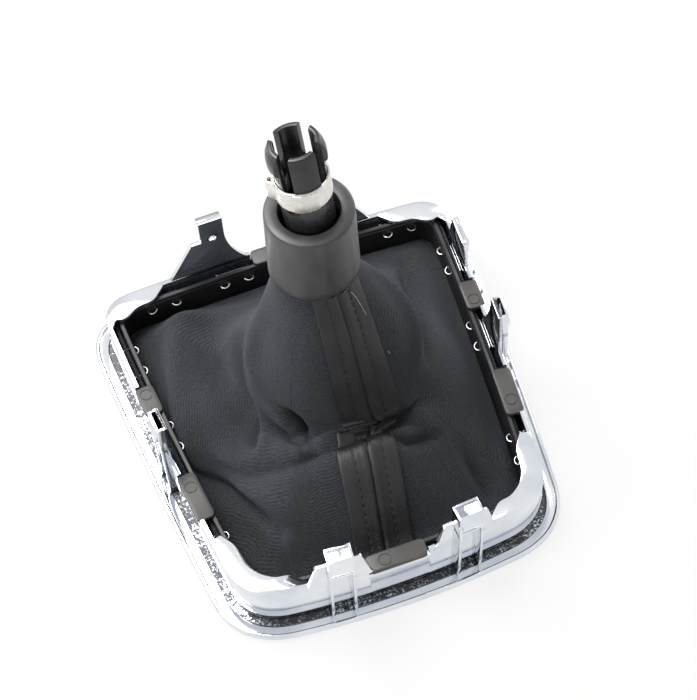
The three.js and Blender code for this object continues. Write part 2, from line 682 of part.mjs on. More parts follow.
// Neck of the knob, drawn upright: a shank, a socket for the lever and four fingers.
function leverNeck() {
  const wallFoot = neckPivot - 6;
  const body = solid(turned([
    [0, neckBase], [neckShankRadius, neckBase], [neckShankRadius, wallFoot], [neckRadius, wallFoot + 2],
    [neckRadius, neckTop], [neckBore, neckTop], [neckBore, socketFloor], [0, socketFloor],
  ], 40));
  const headTop = neckTop - 1;
  const head = solid(turned([
    [neckRadius - 0.6, headTop - headLength], [neckRadius + headReach, headTop - headLength + 0.6],
    [neckRadius + headReach, headTop - headTaper], [neckRadius - 0.4, headTop], [neckRadius - 0.6, headTop],
    [neckRadius - 0.6, headTop - headLength],
  ], 48));
  const reach = neckRadius + headReach + 1;
  const sides = block(-reach, reach, -neckRadius / 2, neckRadius / 2, slotFloor, neckTop + 1);
  let neck = body.add(head.intersect(sides));
  for (const turn of [Math.PI / 4, -Math.PI / 4]) {
    const cut = new THREE.BoxGeometry(2 * reach, slotWidth, neckTop + 2 - slotFloor)
      .translate(0, 0, (neckTop + 2 + slotFloor) / 2).rotateZ(turn);
    neck = neck.subtract(solid(cut));
  }
  return meshOf("lever_neck", neck, materials.glossPlastic);
}

// Band with a pinched ear on its left and a free end that overlaps at the front.
function earClamp() {
  const inner = neckRadius + fitGap;
  const outer = inner + clampThickness;
  const top = clampBottom + clampHeight;
  const band = solid(turned([
    [inner, clampBottom], [outer, clampBottom], [outer, top], [inner, top], [inner, clampBottom],
  ], 40));
  const lapEnd = THREE.MathUtils.degToRad(-90 + 14);
  const lapStart = lapEnd - THREE.MathUtils.degToRad(clampOverlap);
  const lapShape = new THREE.Shape();
  lapShape.absarc(0, 0, outer + clampThickness * 0.7, lapStart, lapEnd, false);
  lapShape.absarc(0, 0, outer - clampThickness / 2, lapEnd, lapStart, true);
  const lap = new THREE.ExtrudeGeometry(lapShape, { depth: clampHeight - 0.6, bevelEnabled: false, curveSegments: 10 })
    .translate(0, 0, clampBottom + 0.3);
  const half = earWidth / 2;
  const ear = solid(prism([
    [-outer + 0.5, -half], [-outer - earReach + 0.8, -half * 0.55], [-outer - earReach, -half * 0.2],
    [-outer - earReach, half * 0.2], [-outer - earReach + 0.8, half * 0.55], [-outer + 0.5, half],
  ], clampBottom + 0.4, top - 0.4));
  const earHollow = solid(prism([
    [-outer + 1.2, -half + 1.4], [-outer - earReach + 1.4, -half * 0.2],
    [-outer - earReach + 1.4, half * 0.2], [-outer + 1.2, half - 1.4],
  ], clampBottom - 1, top + 1));
  return meshOf("ear_clamp", band.add(solid(lap)).add(ear).subtract(earHollow), materials.clampSteel);
}

// The knob's grip, with a hole for the neck, swelling from a waist to the bright ring.
function knobGrip() {
  const foot = knobGripTop - knobGripLength;
  const hole = neckShankRadius + fitGap;
  return turned([
    [0, foot], [knobGripRadius - 1, foot], [knobGripRadius, foot + 2], [knobGripRadius + 0.5, foot + 12],
    [knobGripRadius - 3, foot + 28], [knobWaistRadius + 1, knobGripTop - 10], [knobWaistRadius, knobGripTop - 1],
    [knobWaistRadius - 1, knobGripTop], [hole, knobGripTop], [hole, neckBase - fitGap], [0, neckBase - fitGap],
  ], 32);
}

function knobRing() {
  const top = knobGripTop - knobGripLength - fitGap;
  const bottom = top - knobRingHeight;
  const bore = knobRingRadius - knobCapReach;
  return turned([
    [bore, bottom], [knobRingRadius - 1, bottom], [knobRingRadius, bottom + 1.2], [knobRingRadius, top - 1.2],
    [knobRingRadius - 1, top], [bore, top], [bore, bottom],
  ], 32);
}

// Domed cap with a boss that fits the bright ring.
function knobCap() {
  const ringTop = knobGripTop - knobGripLength - fitGap;
  const seat = ringTop - knobRingHeight - fitGap;
  const rimRadius = knobRingRadius - 1;
  const boss = knobRingRadius - knobCapReach - fitGap;
  const low = seat - knobCapHeight;
  const sphere = (rimRadius ** 2 + (knobCapHeight - 1) ** 2) / (2 * (knobCapHeight - 1));
  const steps = 6;
  const sweep = Math.asin(Math.min(rimRadius / sphere, 1));
  const dome = Array.from({ length: steps + 1 }, (_, k) => {
    const angle = (knobCapHeight - 1 > sphere ? Math.PI - sweep : sweep) * (k / steps);
    return [sphere * Math.sin(angle), low + sphere * (1 - Math.cos(angle))];
  });
  return turned([...dome, [rimRadius, seat], [boss, seat], [boss, ringTop - 0.5], [0, ringTop - 0.5]], 32);
}

const group = new THREE.Group();
const holes = staples.map(({ side, at }) => onWall(stapleHoles(), side, at));
const pierced = (body) => holes.reduce((rest, hole) => rest.subtract(hole), body);

group.add(trimRing());
group.add(meshOf("gaiter_frame", pierced(gaiterFrame()), materials.framePlastic));
group.add(meshOf("gaiter", pierced(gaiterBody()), materials.knit));
group.add(seamStrip());
group.add(...stapleMeshes());
group.add(collarSleeve());
group.add(tieRing());

const knob = new THREE.Group();
knob.add(
  leverNeck(),
  earClamp(),
  meshOf("knob_grip", solid(knobGrip()), materials.leather),
  meshOf("knob_ring", solid(knobRing()), materials.chrome),
  meshOf("knob_cap", solid(knobCap()), materials.glossPlastic),
);
knob.children.forEach((mesh) => mesh.geometry.translate(0, 0, -neckPivot));
knob.position.set(collarX, collarY, neckPivot);
knob.rotation.set(THREE.MathUtils.degToRad(-neckLeanBack), THREE.MathUtils.degToRad(-neckLeanSide), 0);
group.add(knob);

export default group;
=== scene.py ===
"""A gear lever gaiter as it comes out of its bag: inside out, and face down on its trim ring."""

import math

import bpy
import numpy as np
from mathutils import Matrix, Vector
from mathutils.geometry import intersect_line_line


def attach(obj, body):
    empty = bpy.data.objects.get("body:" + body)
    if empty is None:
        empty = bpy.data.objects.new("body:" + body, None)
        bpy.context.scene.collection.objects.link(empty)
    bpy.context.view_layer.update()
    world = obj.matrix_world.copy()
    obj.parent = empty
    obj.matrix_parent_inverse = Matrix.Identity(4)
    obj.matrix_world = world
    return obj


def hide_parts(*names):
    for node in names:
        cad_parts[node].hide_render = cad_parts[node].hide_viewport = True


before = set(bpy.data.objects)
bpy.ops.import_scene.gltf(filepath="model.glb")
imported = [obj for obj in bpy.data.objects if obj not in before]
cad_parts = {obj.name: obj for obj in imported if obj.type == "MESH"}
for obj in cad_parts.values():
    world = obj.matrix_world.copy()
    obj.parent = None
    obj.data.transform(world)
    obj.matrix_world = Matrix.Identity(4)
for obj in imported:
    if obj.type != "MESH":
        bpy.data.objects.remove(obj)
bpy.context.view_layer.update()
bpy.ops.object.select_all(action="DESELECT")
mm = 0.001

# The view
# The gaiter is looked down on from its front end, a little from the left, through a long lens,
# so its far edge is hardly smaller than its near one.
azimuth, elevation, roll = math.radians(-16.46), math.radians(57.01), math.radians(-4.40)
aim = Vector((17.5, 33.0, 0.0)) * mm
camera_distance = 844.8 * mm
picture_width = 697
focal_pixels = 2000

back = Vector((
    math.sin(azimuth) * math.cos(elevation), -math.cos(azimuth) * math.cos(elevation), math.sin(elevation)
))
level = Vector((math.cos(azimuth), math.sin(azimuth), 0))
upright = back.cross(level)
right = level * math.cos(roll) + upright * math.sin(roll)
up = upright * math.cos(roll) - level * math.sin(roll)
bpy.ops.object.camera_add()
camera = bpy.context.object
camera.name = "camera"
turned = Matrix((right, up, back)).transposed().to_4x4()
camera.matrix_world = Matrix.Translation(aim + back * camera_distance) @ turned
camera.data.sensor_fit = "HORIZONTAL"
camera.data.sensor_width = 36
camera.data.lens = 36 * focal_pixels / picture_width
bpy.context.scene.camera = camera


# The table and its light
# A white table in a white room, under a wide soft box overhead and two smaller ones. Polished
# pieces mirror the room, which is brightest above and darker towards the floor.
class Wire:
    """An output of a shader node, which does arithmetic by adding Math nodes."""

    def __init__(self, finish, socket):
        self.finish, self.socket = finish, socket

    def math(self, operation, *others):
        return self.finish.node("Math", {"operation": operation}, dict(enumerate([self, *others])))

    def __add__(self, other):
        return self.math("ADD", other)

    def __sub__(self, other):
        return self.math("SUBTRACT", other)

    def __rsub__(self, other):
        return self.finish.node("Math", {"operation": "SUBTRACT"}, {0: other, 1: self})

    def __mul__(self, other):
        return self.math("MULTIPLY", other)

    def __gt__(self, other):
        return self.math("GREATER_THAN", other)

    def __lt__(self, other):
        return self.math("LESS_THAN", other)

    __radd__ = __add__
    __rmul__ = __mul__


class Nodes:
    """A tree of shader nodes, which gets them one by one."""

    def __init__(self, tree):
        self.tree = tree

    def node(self, kind, settings=None, inputs=None, output=0):
        made = self.tree.nodes.new("ShaderNode" + kind)
        for name, value in (settings or {}).items():
            setattr(made, name, value)
        for socket, value in (inputs or {}).items():
            if isinstance(value, Wire):
                self.tree.links.new(value.socket, made.inputs[socket])
            else:
                made.inputs[socket].default_value = value
        return Wire(self, made.outputs[output])

    def span(self, value, low, high, to_low=0.0, to_high=1.0):
        return self.node("MapRange", {}, {0: value, 1: low, 2: high, 3: to_low, 4: to_high})


class Finish(Nodes):
    """The material of a piece, on a principled shader."""

    def __init__(self, name, **constants):
        self.material = bpy.data.materials.new(name)
        self.material.use_nodes = True
        super().__init__(self.material.node_tree)
        self.shader = self.tree.nodes["Principled BSDF"]
        for socket, value in constants.items():
            self.shader.inputs[socket.replace("_", " ")].default_value = value

    def feed(self, socket, wire):
        self.tree.links.new(wire.socket, self.shader.inputs[socket])

    def place(self, stretch=(1, 1, 1), uv=None):
        """Object coordinates or a UV map's, stretched."""
        source = self.node("UVMap", {"uv_map": uv}) if uv else self.node("TexCoord", output="Object")
        return self.node("VectorMath", {"operation": "MULTIPLY"}, {0: source, 1: stretch})

    def noise(self, scale, detail=2.0, roughness=0.5, at=None):
        inputs = {"Vector": at or self.place(), "Scale": scale, "Detail": detail, "Roughness": roughness}
        return self.node("TexNoise", {}, inputs)

    def mix(self, factor, first, second):
        return self.node("Mix", {"data_type": "RGBA"}, {0: factor, 6: first, 7: second}, 2)

    def tint(self, factor, dark, light):
        """Base colour between two colours."""
        self.feed("Base Color", self.mix(factor, (*dark, 1), (*light, 1)))

    def bump(self, height, distance, strength=1.0):
        return self.node("Bump", {}, {"Height": height, "Distance": distance, "Strength": strength})

    def paint(self, *pieces):
        for piece in pieces:
            piece.data.materials.clear()
            piece.data.materials.append(self.material)


def seen_directly(finish):
    """1 where the camera, a mirror or glass looks at the studio, and 0 for the light it gives."""
    kinds = ("Is Camera Ray", "Is Glossy Ray", "Is Transmission Ray")
    rays = [finish.node("LightPath", output=name) for name in kinds]
    return rays[0].math("MAXIMUM", rays[1]).math("MAXIMUM", rays[2])


table_size, table_drop = 3.0, 0.2 * mm
bpy.ops.mesh.primitive_plane_add(size=table_size, location=(0, 0, -table_drop))
table = bpy.context.object
table.name = "table"
table_top = Finish("table_top", Base_Color=(0.82, 0.82, 0.82, 1), Roughness=0.7)
glow = table_top.node("Emission", {}, {"Color": (0.985, 0.985, 0.98, 1), "Strength": 1.0})
lit_table = Wire(table_top, table_top.shader.outputs[0])
blend = table_top.node("MixShader", {}, {0: seen_directly(table_top) * 0.84, 1: lit_table, 2: glow})
table_top.tree.links.new(blend.socket, table_top.tree.nodes["Material Output"].inputs["Surface"])
table_top.paint(table)

room = bpy.data.worlds.new("room")
bpy.context.scene.world = room
room.use_nodes = True
walls = Nodes(room.node_tree)
height = walls.node("SeparateXYZ", {}, {0: walls.node("TexCoord", output="Generated")}, 2)
mirrored = walls.span(height, 0.05, 0.6, 0.34, 0.98)
camera_ray = walls.node("LightPath", output="Is Camera Ray")
seen = camera_ray.math("MAXIMUM", walls.node("LightPath", output="Is Transmission Ray"))
glossy = walls.node("LightPath", output="Is Glossy Ray")
ambient = 0.34
strength = seen + (1.0 - seen) * (glossy * mirrored + (1.0 - glossy) * ambient)
walls.tree.links.new(strength.socket, walls.tree.nodes["Background"].inputs["Strength"])
walls.tree.nodes["Background"].inputs["Color"].default_value = (0.985, 0.99, 1, 1)

for name, place, size, power in (
    ("overhead", (-0.3, 0.45, 1.0), 0.7, 14.0),
    ("left", (-0.9, -0.1, 0.5), 0.5, 4.0),
    ("right_rear", (0.7, 0.6, 0.5), 0.4, 3.0),
):
    bpy.ops.object.light_add(type="AREA", location=place)
    lamp = bpy.context.object
    lamp.name = name
    lamp.data.shape = "SQUARE"
    lamp.data.size = size
    lamp.data.energy = power
    aimed = (Vector(place) - Vector((0, 0, 0.05))).to_track_quat("Z", "Y").to_matrix().to_4x4()
    lamp.matrix_world = Matrix.Translation(place) @ aimed

bpy.context.scene.view_settings.view_transform = "Standard"

# Trim ring
# One moulding of plated plastic. It lies on the rolled lip that the driver sees, and its wall,
# corner ledges, raised panels and snap clips stand up behind.
wall_length, back_half, front_half = 159.4 * mm, 77.0 * mm, 63.8 * mm
side_bow, front_bow, back_bow = 1.0 * mm, 2.6 * mm, 1.6 * mm
front_corner, back_corner = 19.0 * mm, 15.0 * mm
least_corner = 2.0 * mm


def ring_plan(inset, side_steps=28, corner_steps=14):
    """The ring's outline at a distance in from its wall's outer face, counterclockwise."""
    back_y = wall_length / 2 - back_bow - inset
    front_y = front_bow - wall_length / 2 + inset
    corners = [
        (Vector((x, y, 0)), max(radius - inset, least_corner))
        for x, y, radius in (
            (front_half - inset, front_y, front_corner),
            (back_half - inset, back_y, back_corner),
            (inset - back_half, back_y, back_corner),
            (inset - front_half, front_y, front_corner),
        )
    ]
    sides = []
    for k, bow in enumerate((side_bow, back_bow, side_bow, front_bow)):
        (a, a_radius), (b, b_radius) = corners[k], corners[(k + 1) % 4]
        along = (b - a).normalized()
        start, end = a + along * a_radius, b - along * b_radius
        sides.append((start, (start + end) / 2 + Vector((along.y, -along.x, 0)) * 2 * bow, end))
    points = []
    for k, (start, middle, end) in enumerate(sides):
        next_start, next_middle, _ = sides[(k + 1) % 4]
        turn = intersect_line_line(middle, end, next_middle, next_start)[0]
        bends = ((side_steps, (start, middle, end)), (corner_steps, (end, turn, next_start)))
        for count, (a, b, c) in bends:
            for step in range(count):
                t = step / count
                points.append(a * (1 - t) ** 2 + b * 2 * t * (1 - t) + c * t**2)
    return points


def face_at(side, position):
    """How far out the wall's face lies on a side of the ring, and how much it turns there."""
    across = side in ("front", "back")
    bow = {"front": front_bow, "back": back_bow}.get(side, side_bow)
    back_edge, front_edge = wall_length / 2 - back_bow, wall_length / 2 - front_bow
    slant = (back_half - front_half) / (back_edge + front_edge)
    reach = {"front": front_half - front_corner, "back": back_half - back_corner}.get(
        side, (back_edge + front_edge - back_corner - front_corner) / 2
    )
    middle = 0 if across else (back_edge - back_corner - front_edge + front_corner) / 2
    share = (position - middle) / reach
    slanted = front_half + slant * (position + front_edge)
    straight = {"front": front_edge, "back": back_edge}.get(side, slanted)
    fall = -2 * bow * share / reach
    return straight + bow * (1 - share**2), math.atan(fall if across else slant + fall)


def on_wall(side, position):
    """The matrix that takes x along the wall and y outwards to a place on a side of the ring."""
    out, turn = face_at(side, position)
    angle, place = {
        "front": (math.pi - turn, (position, -out, 0)),
        "back": (turn, (position, out, 0)),
        "right": (-math.pi / 2 - turn, (out, position, 0)),
        "left": (math.pi / 2 + turn, (-out, position, 0)),
    }[side]
    return Matrix.Translation(place) @ Matrix.Rotation(angle, 4, "Z")


def pick(*pieces):
    bpy.ops.object.select_all(action="DESELECT")
    for piece in pieces:
        piece.select_set(True)
    bpy.context.view_layer.objects.active = pieces[0]


def drawn_curve(lines, closed=True, flat=True):
    """A curve object through straight-sided lines, which close on themselves or stay open."""
    bpy.ops.curve.primitive_bezier_circle_add(radius=1)
    drawn = bpy.context.object
    drawn.data.splines.clear()
    drawn.data.dimensions = "2D" if flat else "3D"
    for line in lines:
        spline = drawn.data.splines.new("POLY")
        spline.points.add(len(line) - 1)
        for point, place in zip(spline.points, line):
            point.co = (place[0], place[1], 0 if flat else place[2], 1)
        spline.use_cyclic_u = closed
    return drawn


def face_outwards(piece, merge=0.005 * mm):
    """Merges the doubles of a mesh and turns its faces outwards."""
    pick(piece)
    bpy.ops.object.mode_set(mode="EDIT")
    bpy.ops.mesh.select_all(action="SELECT")
    bpy.ops.mesh.remove_doubles(threshold=merge)
    bpy.ops.mesh.normals_make_consistent(inside=False)
    bpy.ops.object.mode_set(mode="OBJECT")


def as_mesh(drawn, name):
    """Turns a curve into a mesh whose faces point outwards."""
    pick(drawn)
    bpy.ops.object.convert(target="MESH")
    made = bpy.context.object
    made.name = made.data.name = name
    face_outwards(made)
    return made


def swept(name, section):
    """Sweeps a closed section of (inset, height) round the ring's outline."""
    rail, shape = drawn_curve([ring_plan(0)]), drawn_curve([section])
    rail.data.bevel_mode = "OBJECT"
    rail.data.bevel_object = shape
    made = as_mesh(rail, name)
    bpy.data.objects.remove(shape)
    return made


def plate(name, outlines, thickness, edge):
    """A flat plate with round edges, lying on the ground and as thick as given."""
    drawn = drawn_curve(outlines)
    drawn.data.fill_mode = "BOTH"
    drawn.data.extrude = thickness / 2 - edge
    drawn.data.bevel_depth = edge
    drawn.data.bevel_resolution = 1
    drawn.data.offset = -edge
    made = as_mesh(drawn, name)
    made.data.transform(Matrix.Translation((0, 0, thickness / 2)))
    return made


def rounded(points, radius, steps=5):
    """Rounds the corners of an outline, each by no more than its sides allow."""
    made = []
    count = len(points)
    for k in range(count):
        corner, before, after = (Vector((*points[(k + d) % count][:2], 0)) for d in (0, -1, 1))
        reach = min(radius, (before - corner).length * 0.45, (after - corner).length * 0.45)
        a = corner + (before - corner).normalized() * reach
        b = corner + (after - corner).normalized() * reach
        for step in range(steps + 1):
            t = step / steps
            made.append(a * (1 - t) ** 2 + corner * 2 * t * (1 - t) + b * t**2)
    return made


def block(name, low, high, edge=0.0):
    """A box between two corners, with round edges."""
    low, high = Vector(low), Vector(high)
    bpy.ops.mesh.primitive_cube_add(size=1, location=(low + high) / 2)
    made = bpy.context.object
    made.name = name
    made.scale = high - low
    bpy.ops.object.transform_apply(location=True, rotation=True, scale=True)
    if edge:
        soften(made, edge)
    return made


def soften(piece, width, segments=2, angle=40):
    pick(piece)
    softener = piece.modifiers.new("edges", "BEVEL")
    softener.width = width
    softener.segments = segments
    softener.limit_method = "ANGLE"
    softener.angle_limit = math.radians(angle)
    bpy.ops.object.modifier_apply(modifier="edges")


def carve(piece, *cutters, operation="DIFFERENCE"):
    """Takes the cutters out of a piece, or unites them with it."""
    for cutter in cutters:
        pick(piece)
        carver = piece.modifiers.new("carve", "BOOLEAN")
        carver.operation = operation
        carver.solver = "EXACT"
        carver.object = cutter
        bpy.ops.object.modifier_apply(modifier="carve")
        bpy.data.objects.remove(cutter)


def joined(name, *pieces):
    pick(*pieces)
    if len(pieces) > 1:
        bpy.ops.object.join()
    made = bpy.context.object
    made.name = made.data.name = name
    return made


def copied(piece, name):
    """A copy with a mesh of its own."""
    made = piece.copy()
    made.data = piece.data.copy()
    made.name = name
    bpy.context.collection.objects.link(made)
    return made


def mirror(piece):
    """Mirrors a mesh left to right."""
    piece.data.transform(Matrix.Scale(-1, 4, (1, 0, 0)))
    piece.data.flip_normals()


def smooth(piece, angle=35):
    pick(piece)
    bpy.ops.object.shade_smooth_by_angle(angle=math.radians(angle))


def settle(piece, slot, *nodes):
    """The piece goes with the object and stands for these nodes."""
    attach(piece, "root")
    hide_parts(*nodes)


wall_height, wall_thickness = 25.0 * mm, 2.0 * mm
ring_section = [(x * mm, z * mm) for x, z in (
    (-7.5, 1.0), (-7.2, 0.45), (-6.6, 0.15), (-5.4, 0), (1.4, 0), (2.8, 0.25), (4.4, 1.0), (6.2, 2.3),
    (6.6, 2.8), (6.6, 3.5), (6.3, 3.9), (6.0, 4.0), (2.4, 4.0), (2.1, 4.1), (2.0, 4.4), (2.0, 24.7),
    (1.7, 25.0), (0.5, 25.0), (0.15, 24.85), (0, 24.5), (0, 4.9), (0.1, 4.8), (0.8, 4.8), (0.8, 1.4),
    (0.6, 1.3), (-2.0, 1.3), (-2.2, 1.5), (-2.2, 2.1), (-2.4, 2.2), (-5.6, 2.2), (-5.9, 2.4), (-6.0, 2.9),
    (-6.3, 3.15), (-6.9, 3.15), (-7.35, 2.9), (-7.5, 2.5),
)]
ring_body = swept("lip_and_wall", ring_section)

tabs = [
    ("left", 25 * mm, 14 * mm), ("right", 25 * mm, 14 * mm), ("left", -24 * mm, 22 * mm),
    ("right", -24 * mm, 22 * mm), ("front", -2 * mm, 24 * mm), ("back", 0.0, 18 * mm),
]
notch_gap, notch_floor = 0.3 * mm, 21.7 * mm
for side, position, length in tabs:
    half = length / 2 + notch_gap
    notch = block("notch", (-half, -4 * mm, notch_floor), (half, 2 * mm, 30 * mm))
    notch.data.transform(on_wall(side, position))
    carve(ring_body, notch)

shelf_thickness, shelf_width = 2.0 * mm, 7.6 * mm
ring_parts = []
for side in (-1, 1):
    for end in (-1, 1):
        x, y, radius, along, across = (
            (front_half, front_bow - wall_length / 2, front_corner, 14 * mm, 8 * mm) if end < 0
            else (back_half, wall_length / 2 - back_bow, back_corner, 2 * mm, 14 * mm)
        )
        width = shelf_width
        inner = rounded([
            (0, radius + along), (1.5 * mm, radius + along), (width - 2 * mm, radius + along - 6 * mm),
            (width, radius - 3 * mm), (width + 3 * mm, width + 4 * mm), (width + 8 * mm, width + 0.5 * mm),
            (radius + across - 6 * mm, width), (radius + across, 1.5 * mm), (radius + across, 0),
        ], 2.5 * mm)[6:-6]
        inner = [Vector((side * (x - p.x), y - end * p.y, 0)) for p in inner]
        reach_y, reach_x = abs(y) - radius - along, x - radius - across
        outer = [p for p in ring_plan(0.3 * mm) if side * p.x > reach_x and end * p.y > reach_y]
        outer.sort(key=lambda p: math.atan2(end * p.y - reach_y, side * p.x - reach_x))
        if (outer[0] - inner[-1]).length > (outer[-1] - inner[-1]).length:
            outer.reverse()
        ledge = plate("ledge", [[*outer, *inner]], shelf_thickness, 0.35 * mm)
        ledge.data.transform(Matrix.Translation((0, 0, wall_height - shelf_thickness + 0.04 * mm)))
        ring_parts.append(ledge)

clip_half, clip_wall, clip_floor, clip_base, clip_top = 5.2 * mm, 1.0 * mm, 38.0 * mm, 34.0 * mm, 49.0 * mm
stand_up = Matrix.Rotation(math.pi / 2, 4, "X")
edge_on = Matrix.Rotation(math.pi / 2, 4, "Z") @ Matrix.Rotation(math.pi / 2, 4, "X")


def raised_panel(height, half):
    """A panel of the wall with a wide foot, its outer face at y 0."""
    foot = half + 3 * mm
    panel = plate("panel", [rounded([
        (-foot - 2 * mm, wall_height - 2 * mm), (foot + 2 * mm, wall_height - 2 * mm),
        (foot, wall_height + 0.2 * mm), (half, height), (-half, height), (-foot, wall_height + 0.2 * mm),
    ], 1.2 * mm)], wall_thickness, 0.3 * mm)
    panel.data.transform(stand_up)
    return panel


def clip_ribs(half, top, reach):
    """Two ribs that run down the wall's outer face to the lip."""
    ribs = []
    foot_reach, knee_reach = min(3.2 * mm, reach), min(3.8 * mm, reach)
    for hand in (-1, 1):
        rib = plate("rib", [[
            (-0.4 * mm, 1.8 * mm), (foot_reach, 1.8 * mm), (knee_reach, 7.8 * mm), (reach, top),
            (-0.4 * mm, top)
        ]], 1.3 * mm, 0.25 * mm)
        rib.data.transform(Matrix.Translation((hand * (half - 0.65 * mm) - 0.65 * mm, 0, 0)) @ edge_on)
        ribs.append(rib)
    return ribs


def box_clip(name, panel, reach):
    """A box tower that is open above, with a slot in its face, a hook and two ribs, on a panel."""
    inside, face = clip_half - clip_wall, reach - clip_wall
    hollow_low = (-inside, clip_wall - wall_thickness, clip_floor + 0.6 * mm)
    hollow_high = (inside, face, clip_top + 5 * mm)
    tower = block("tower", (-clip_half, -wall_thickness, clip_base), (clip_half, reach, clip_top), 0.3 * mm)
    carve(
        tower,
        block("hollow", hollow_low, hollow_high),
        block("slot", (-inside, face - clip_wall, clip_floor - 0.2 * mm),
              (inside, reach + 1 * mm, clip_floor + 1 * mm)),
        block("bay", (0.3 * mm - inside, min(0.6 * mm, face - 0.6 * mm), clip_base - 1 * mm),
              (inside - 0.3 * mm, reach + 1 * mm, clip_floor - 1.2 * mm)),
    )
    carve(panel, block("hollow", hollow_low, hollow_high))
    hook = plate("hook", [[
        (face, clip_floor + 1.9 * mm), (reach + 1 * mm, clip_floor + 2.9 * mm),
        (reach + 1 * mm, clip_top - 6 * mm), (face, clip_top - 3 * mm),
    ]], 2 * inside, 0.2 * mm)
    hook.data.transform(Matrix.Translation((-inside, 0, 0)) @ edge_on)
    return joined(name, panel, tower, hook, *clip_ribs(clip_half, clip_floor - 1 * mm, reach))


def side_panel():
    """Plate behind a side tower: straight in front, and flaring out below at its rear."""
    flank = [(-clip_half - out * mm, wall_height + lift * mm) for out, lift in (
        (0, 21), (1.2, 15), (2.2, 11), (3.6, 8), (5.1, 4.2), (6.2, 1.6), (8.1, 0))]
    panel = plate("panel", [[
        (-clip_half - 8.1 * mm, wall_height - 2 * mm), (clip_half + 1 * mm, wall_height - 2 * mm),
        (clip_half, wall_height + 1 * mm), (clip_half, clip_top), (-clip_half, clip_top), *flank,
    ]], wall_thickness, 0.3 * mm)
    panel.data.transform(stand_up)
    return panel


front_clip = box_clip("front_clip", raised_panel(38 * mm, 9.4 * mm), 5 * mm)
right_clip = box_clip("side_clip", side_panel(), 2.4 * mm)
left_clip = copied(right_clip, "left_clip")
mirror(left_clip)
low_half, low_top = 7 * mm, 37 * mm
bead = block("bead", (-low_half, -1 * mm, low_top - 2.4 * mm), (low_half, 1.2 * mm, low_top), 0.3 * mm)
low_ribs = clip_ribs(low_half - 1 * mm, low_top - 1.2 * mm, 1.2 * mm)
low_panel = joined("low_panel", raised_panel(low_top, low_half), bead, *low_ribs)
for model, side, position in (
    (front_clip, "front", -25.7 * mm), (front_clip, "front", 25.7 * mm), (right_clip, "right", -0.5 * mm),
    (left_clip, "left", -0.5 * mm), (low_panel, "right", 48.5 * mm),
):
    ring_parts.append(copied(model, "clip"))
    ring_parts[-1].data.transform(on_wall(side, position))
for model in (front_clip, right_clip, left_clip, low_panel):
    bpy.data.objects.remove(model)

back_clip_x, back_clip_top, back_panel_top, back_neck = 24.0 * mm, 56.0 * mm, 43.5 * mm, 5.2 * mm
hole_radius = 1.5 * mm
flank = [
    (back_neck + 0.5 * mm * math.sin(t * math.pi / 2) + 7.5 * mm * t**2.2,
        back_panel_top + 2 * mm - 20.5 * mm * t)
    for t in (step / 8 for step in range(9))
]
tall_outline = [
    (-back_neck - 15 * mm, 23 * mm), (back_neck + 8 * mm, 23 * mm), *reversed(flank),
    (back_neck, back_clip_top),
    (-back_neck, back_clip_top), (-back_neck, back_panel_top), (-back_neck - 4.2 * mm, back_panel_top),
    (-back_neck - 15 * mm, 25 * mm),
]
hole = [
    (hole_radius * math.cos(t), back_panel_top + 1 * mm + hole_radius * math.sin(t))
    for t in (step * math.pi / 12 for step in range(24))
]
for side in (-1, 1):
    sheet = plate("sheet", [tall_outline, hole], wall_thickness, 0.3 * mm)
    sheet.data.transform(stand_up)
    lip = plate("lip", [[
        (-0.4 * mm, back_clip_top - 5 * mm), (2.6 * mm, back_clip_top - 2.6 * mm),
        (2.6 * mm, back_clip_top - 1 * mm), (0.2 * mm, back_clip_top + 0.05 * mm),
        (-0.4 * mm, back_clip_top),
    ]], 2 * back_neck, 0.25 * mm)
    lip.data.transform(Matrix.Translation((-back_neck, 0, 0)) @ edge_on)
    clip = joined("back_clip", sheet, lip)
    if side > 0:
        mirror(clip)
    clip.data.transform(on_wall("back", side * back_clip_x))
    ring_parts.append(clip)

trim_ring = joined("plated_trim_ring", ring_body, *ring_parts)
smooth(trim_ring, 32)
while trim_ring.data.uv_layers:
    trim_ring.data.uv_layers.remove(trim_ring.data.uv_layers[0])
outline = np.array([p[:2] for p in ring_plan(0)])
places = np.array([v.co for v in trim_ring.data.vertices])
inset = np.full(len(places), np.inf)
for start, step in zip(outline, np.roll(outline, -1, axis=0) - outline):
    off = places[:, :2] - start
    share = np.clip(off @ step / (step @ step), 0, 1)
    gap = np.linalg.norm(off - share[:, None] * step, axis=1)
    inside = step[0] * off[:, 1] - step[1] * off[:, 0] > 0
    inset = np.where(gap < np.abs(inset), np.where(inside, gap, -gap), inset)
section_map = trim_ring.data.uv_layers.new(name="section")
loops = np.array([loop.vertex_index for loop in trim_ring.data.loops])
section_uv = np.column_stack([inset[loops], places[loops, 2]]).astype(np.float32)
section_map.data.foreach_set("uv", section_uv.ravel())

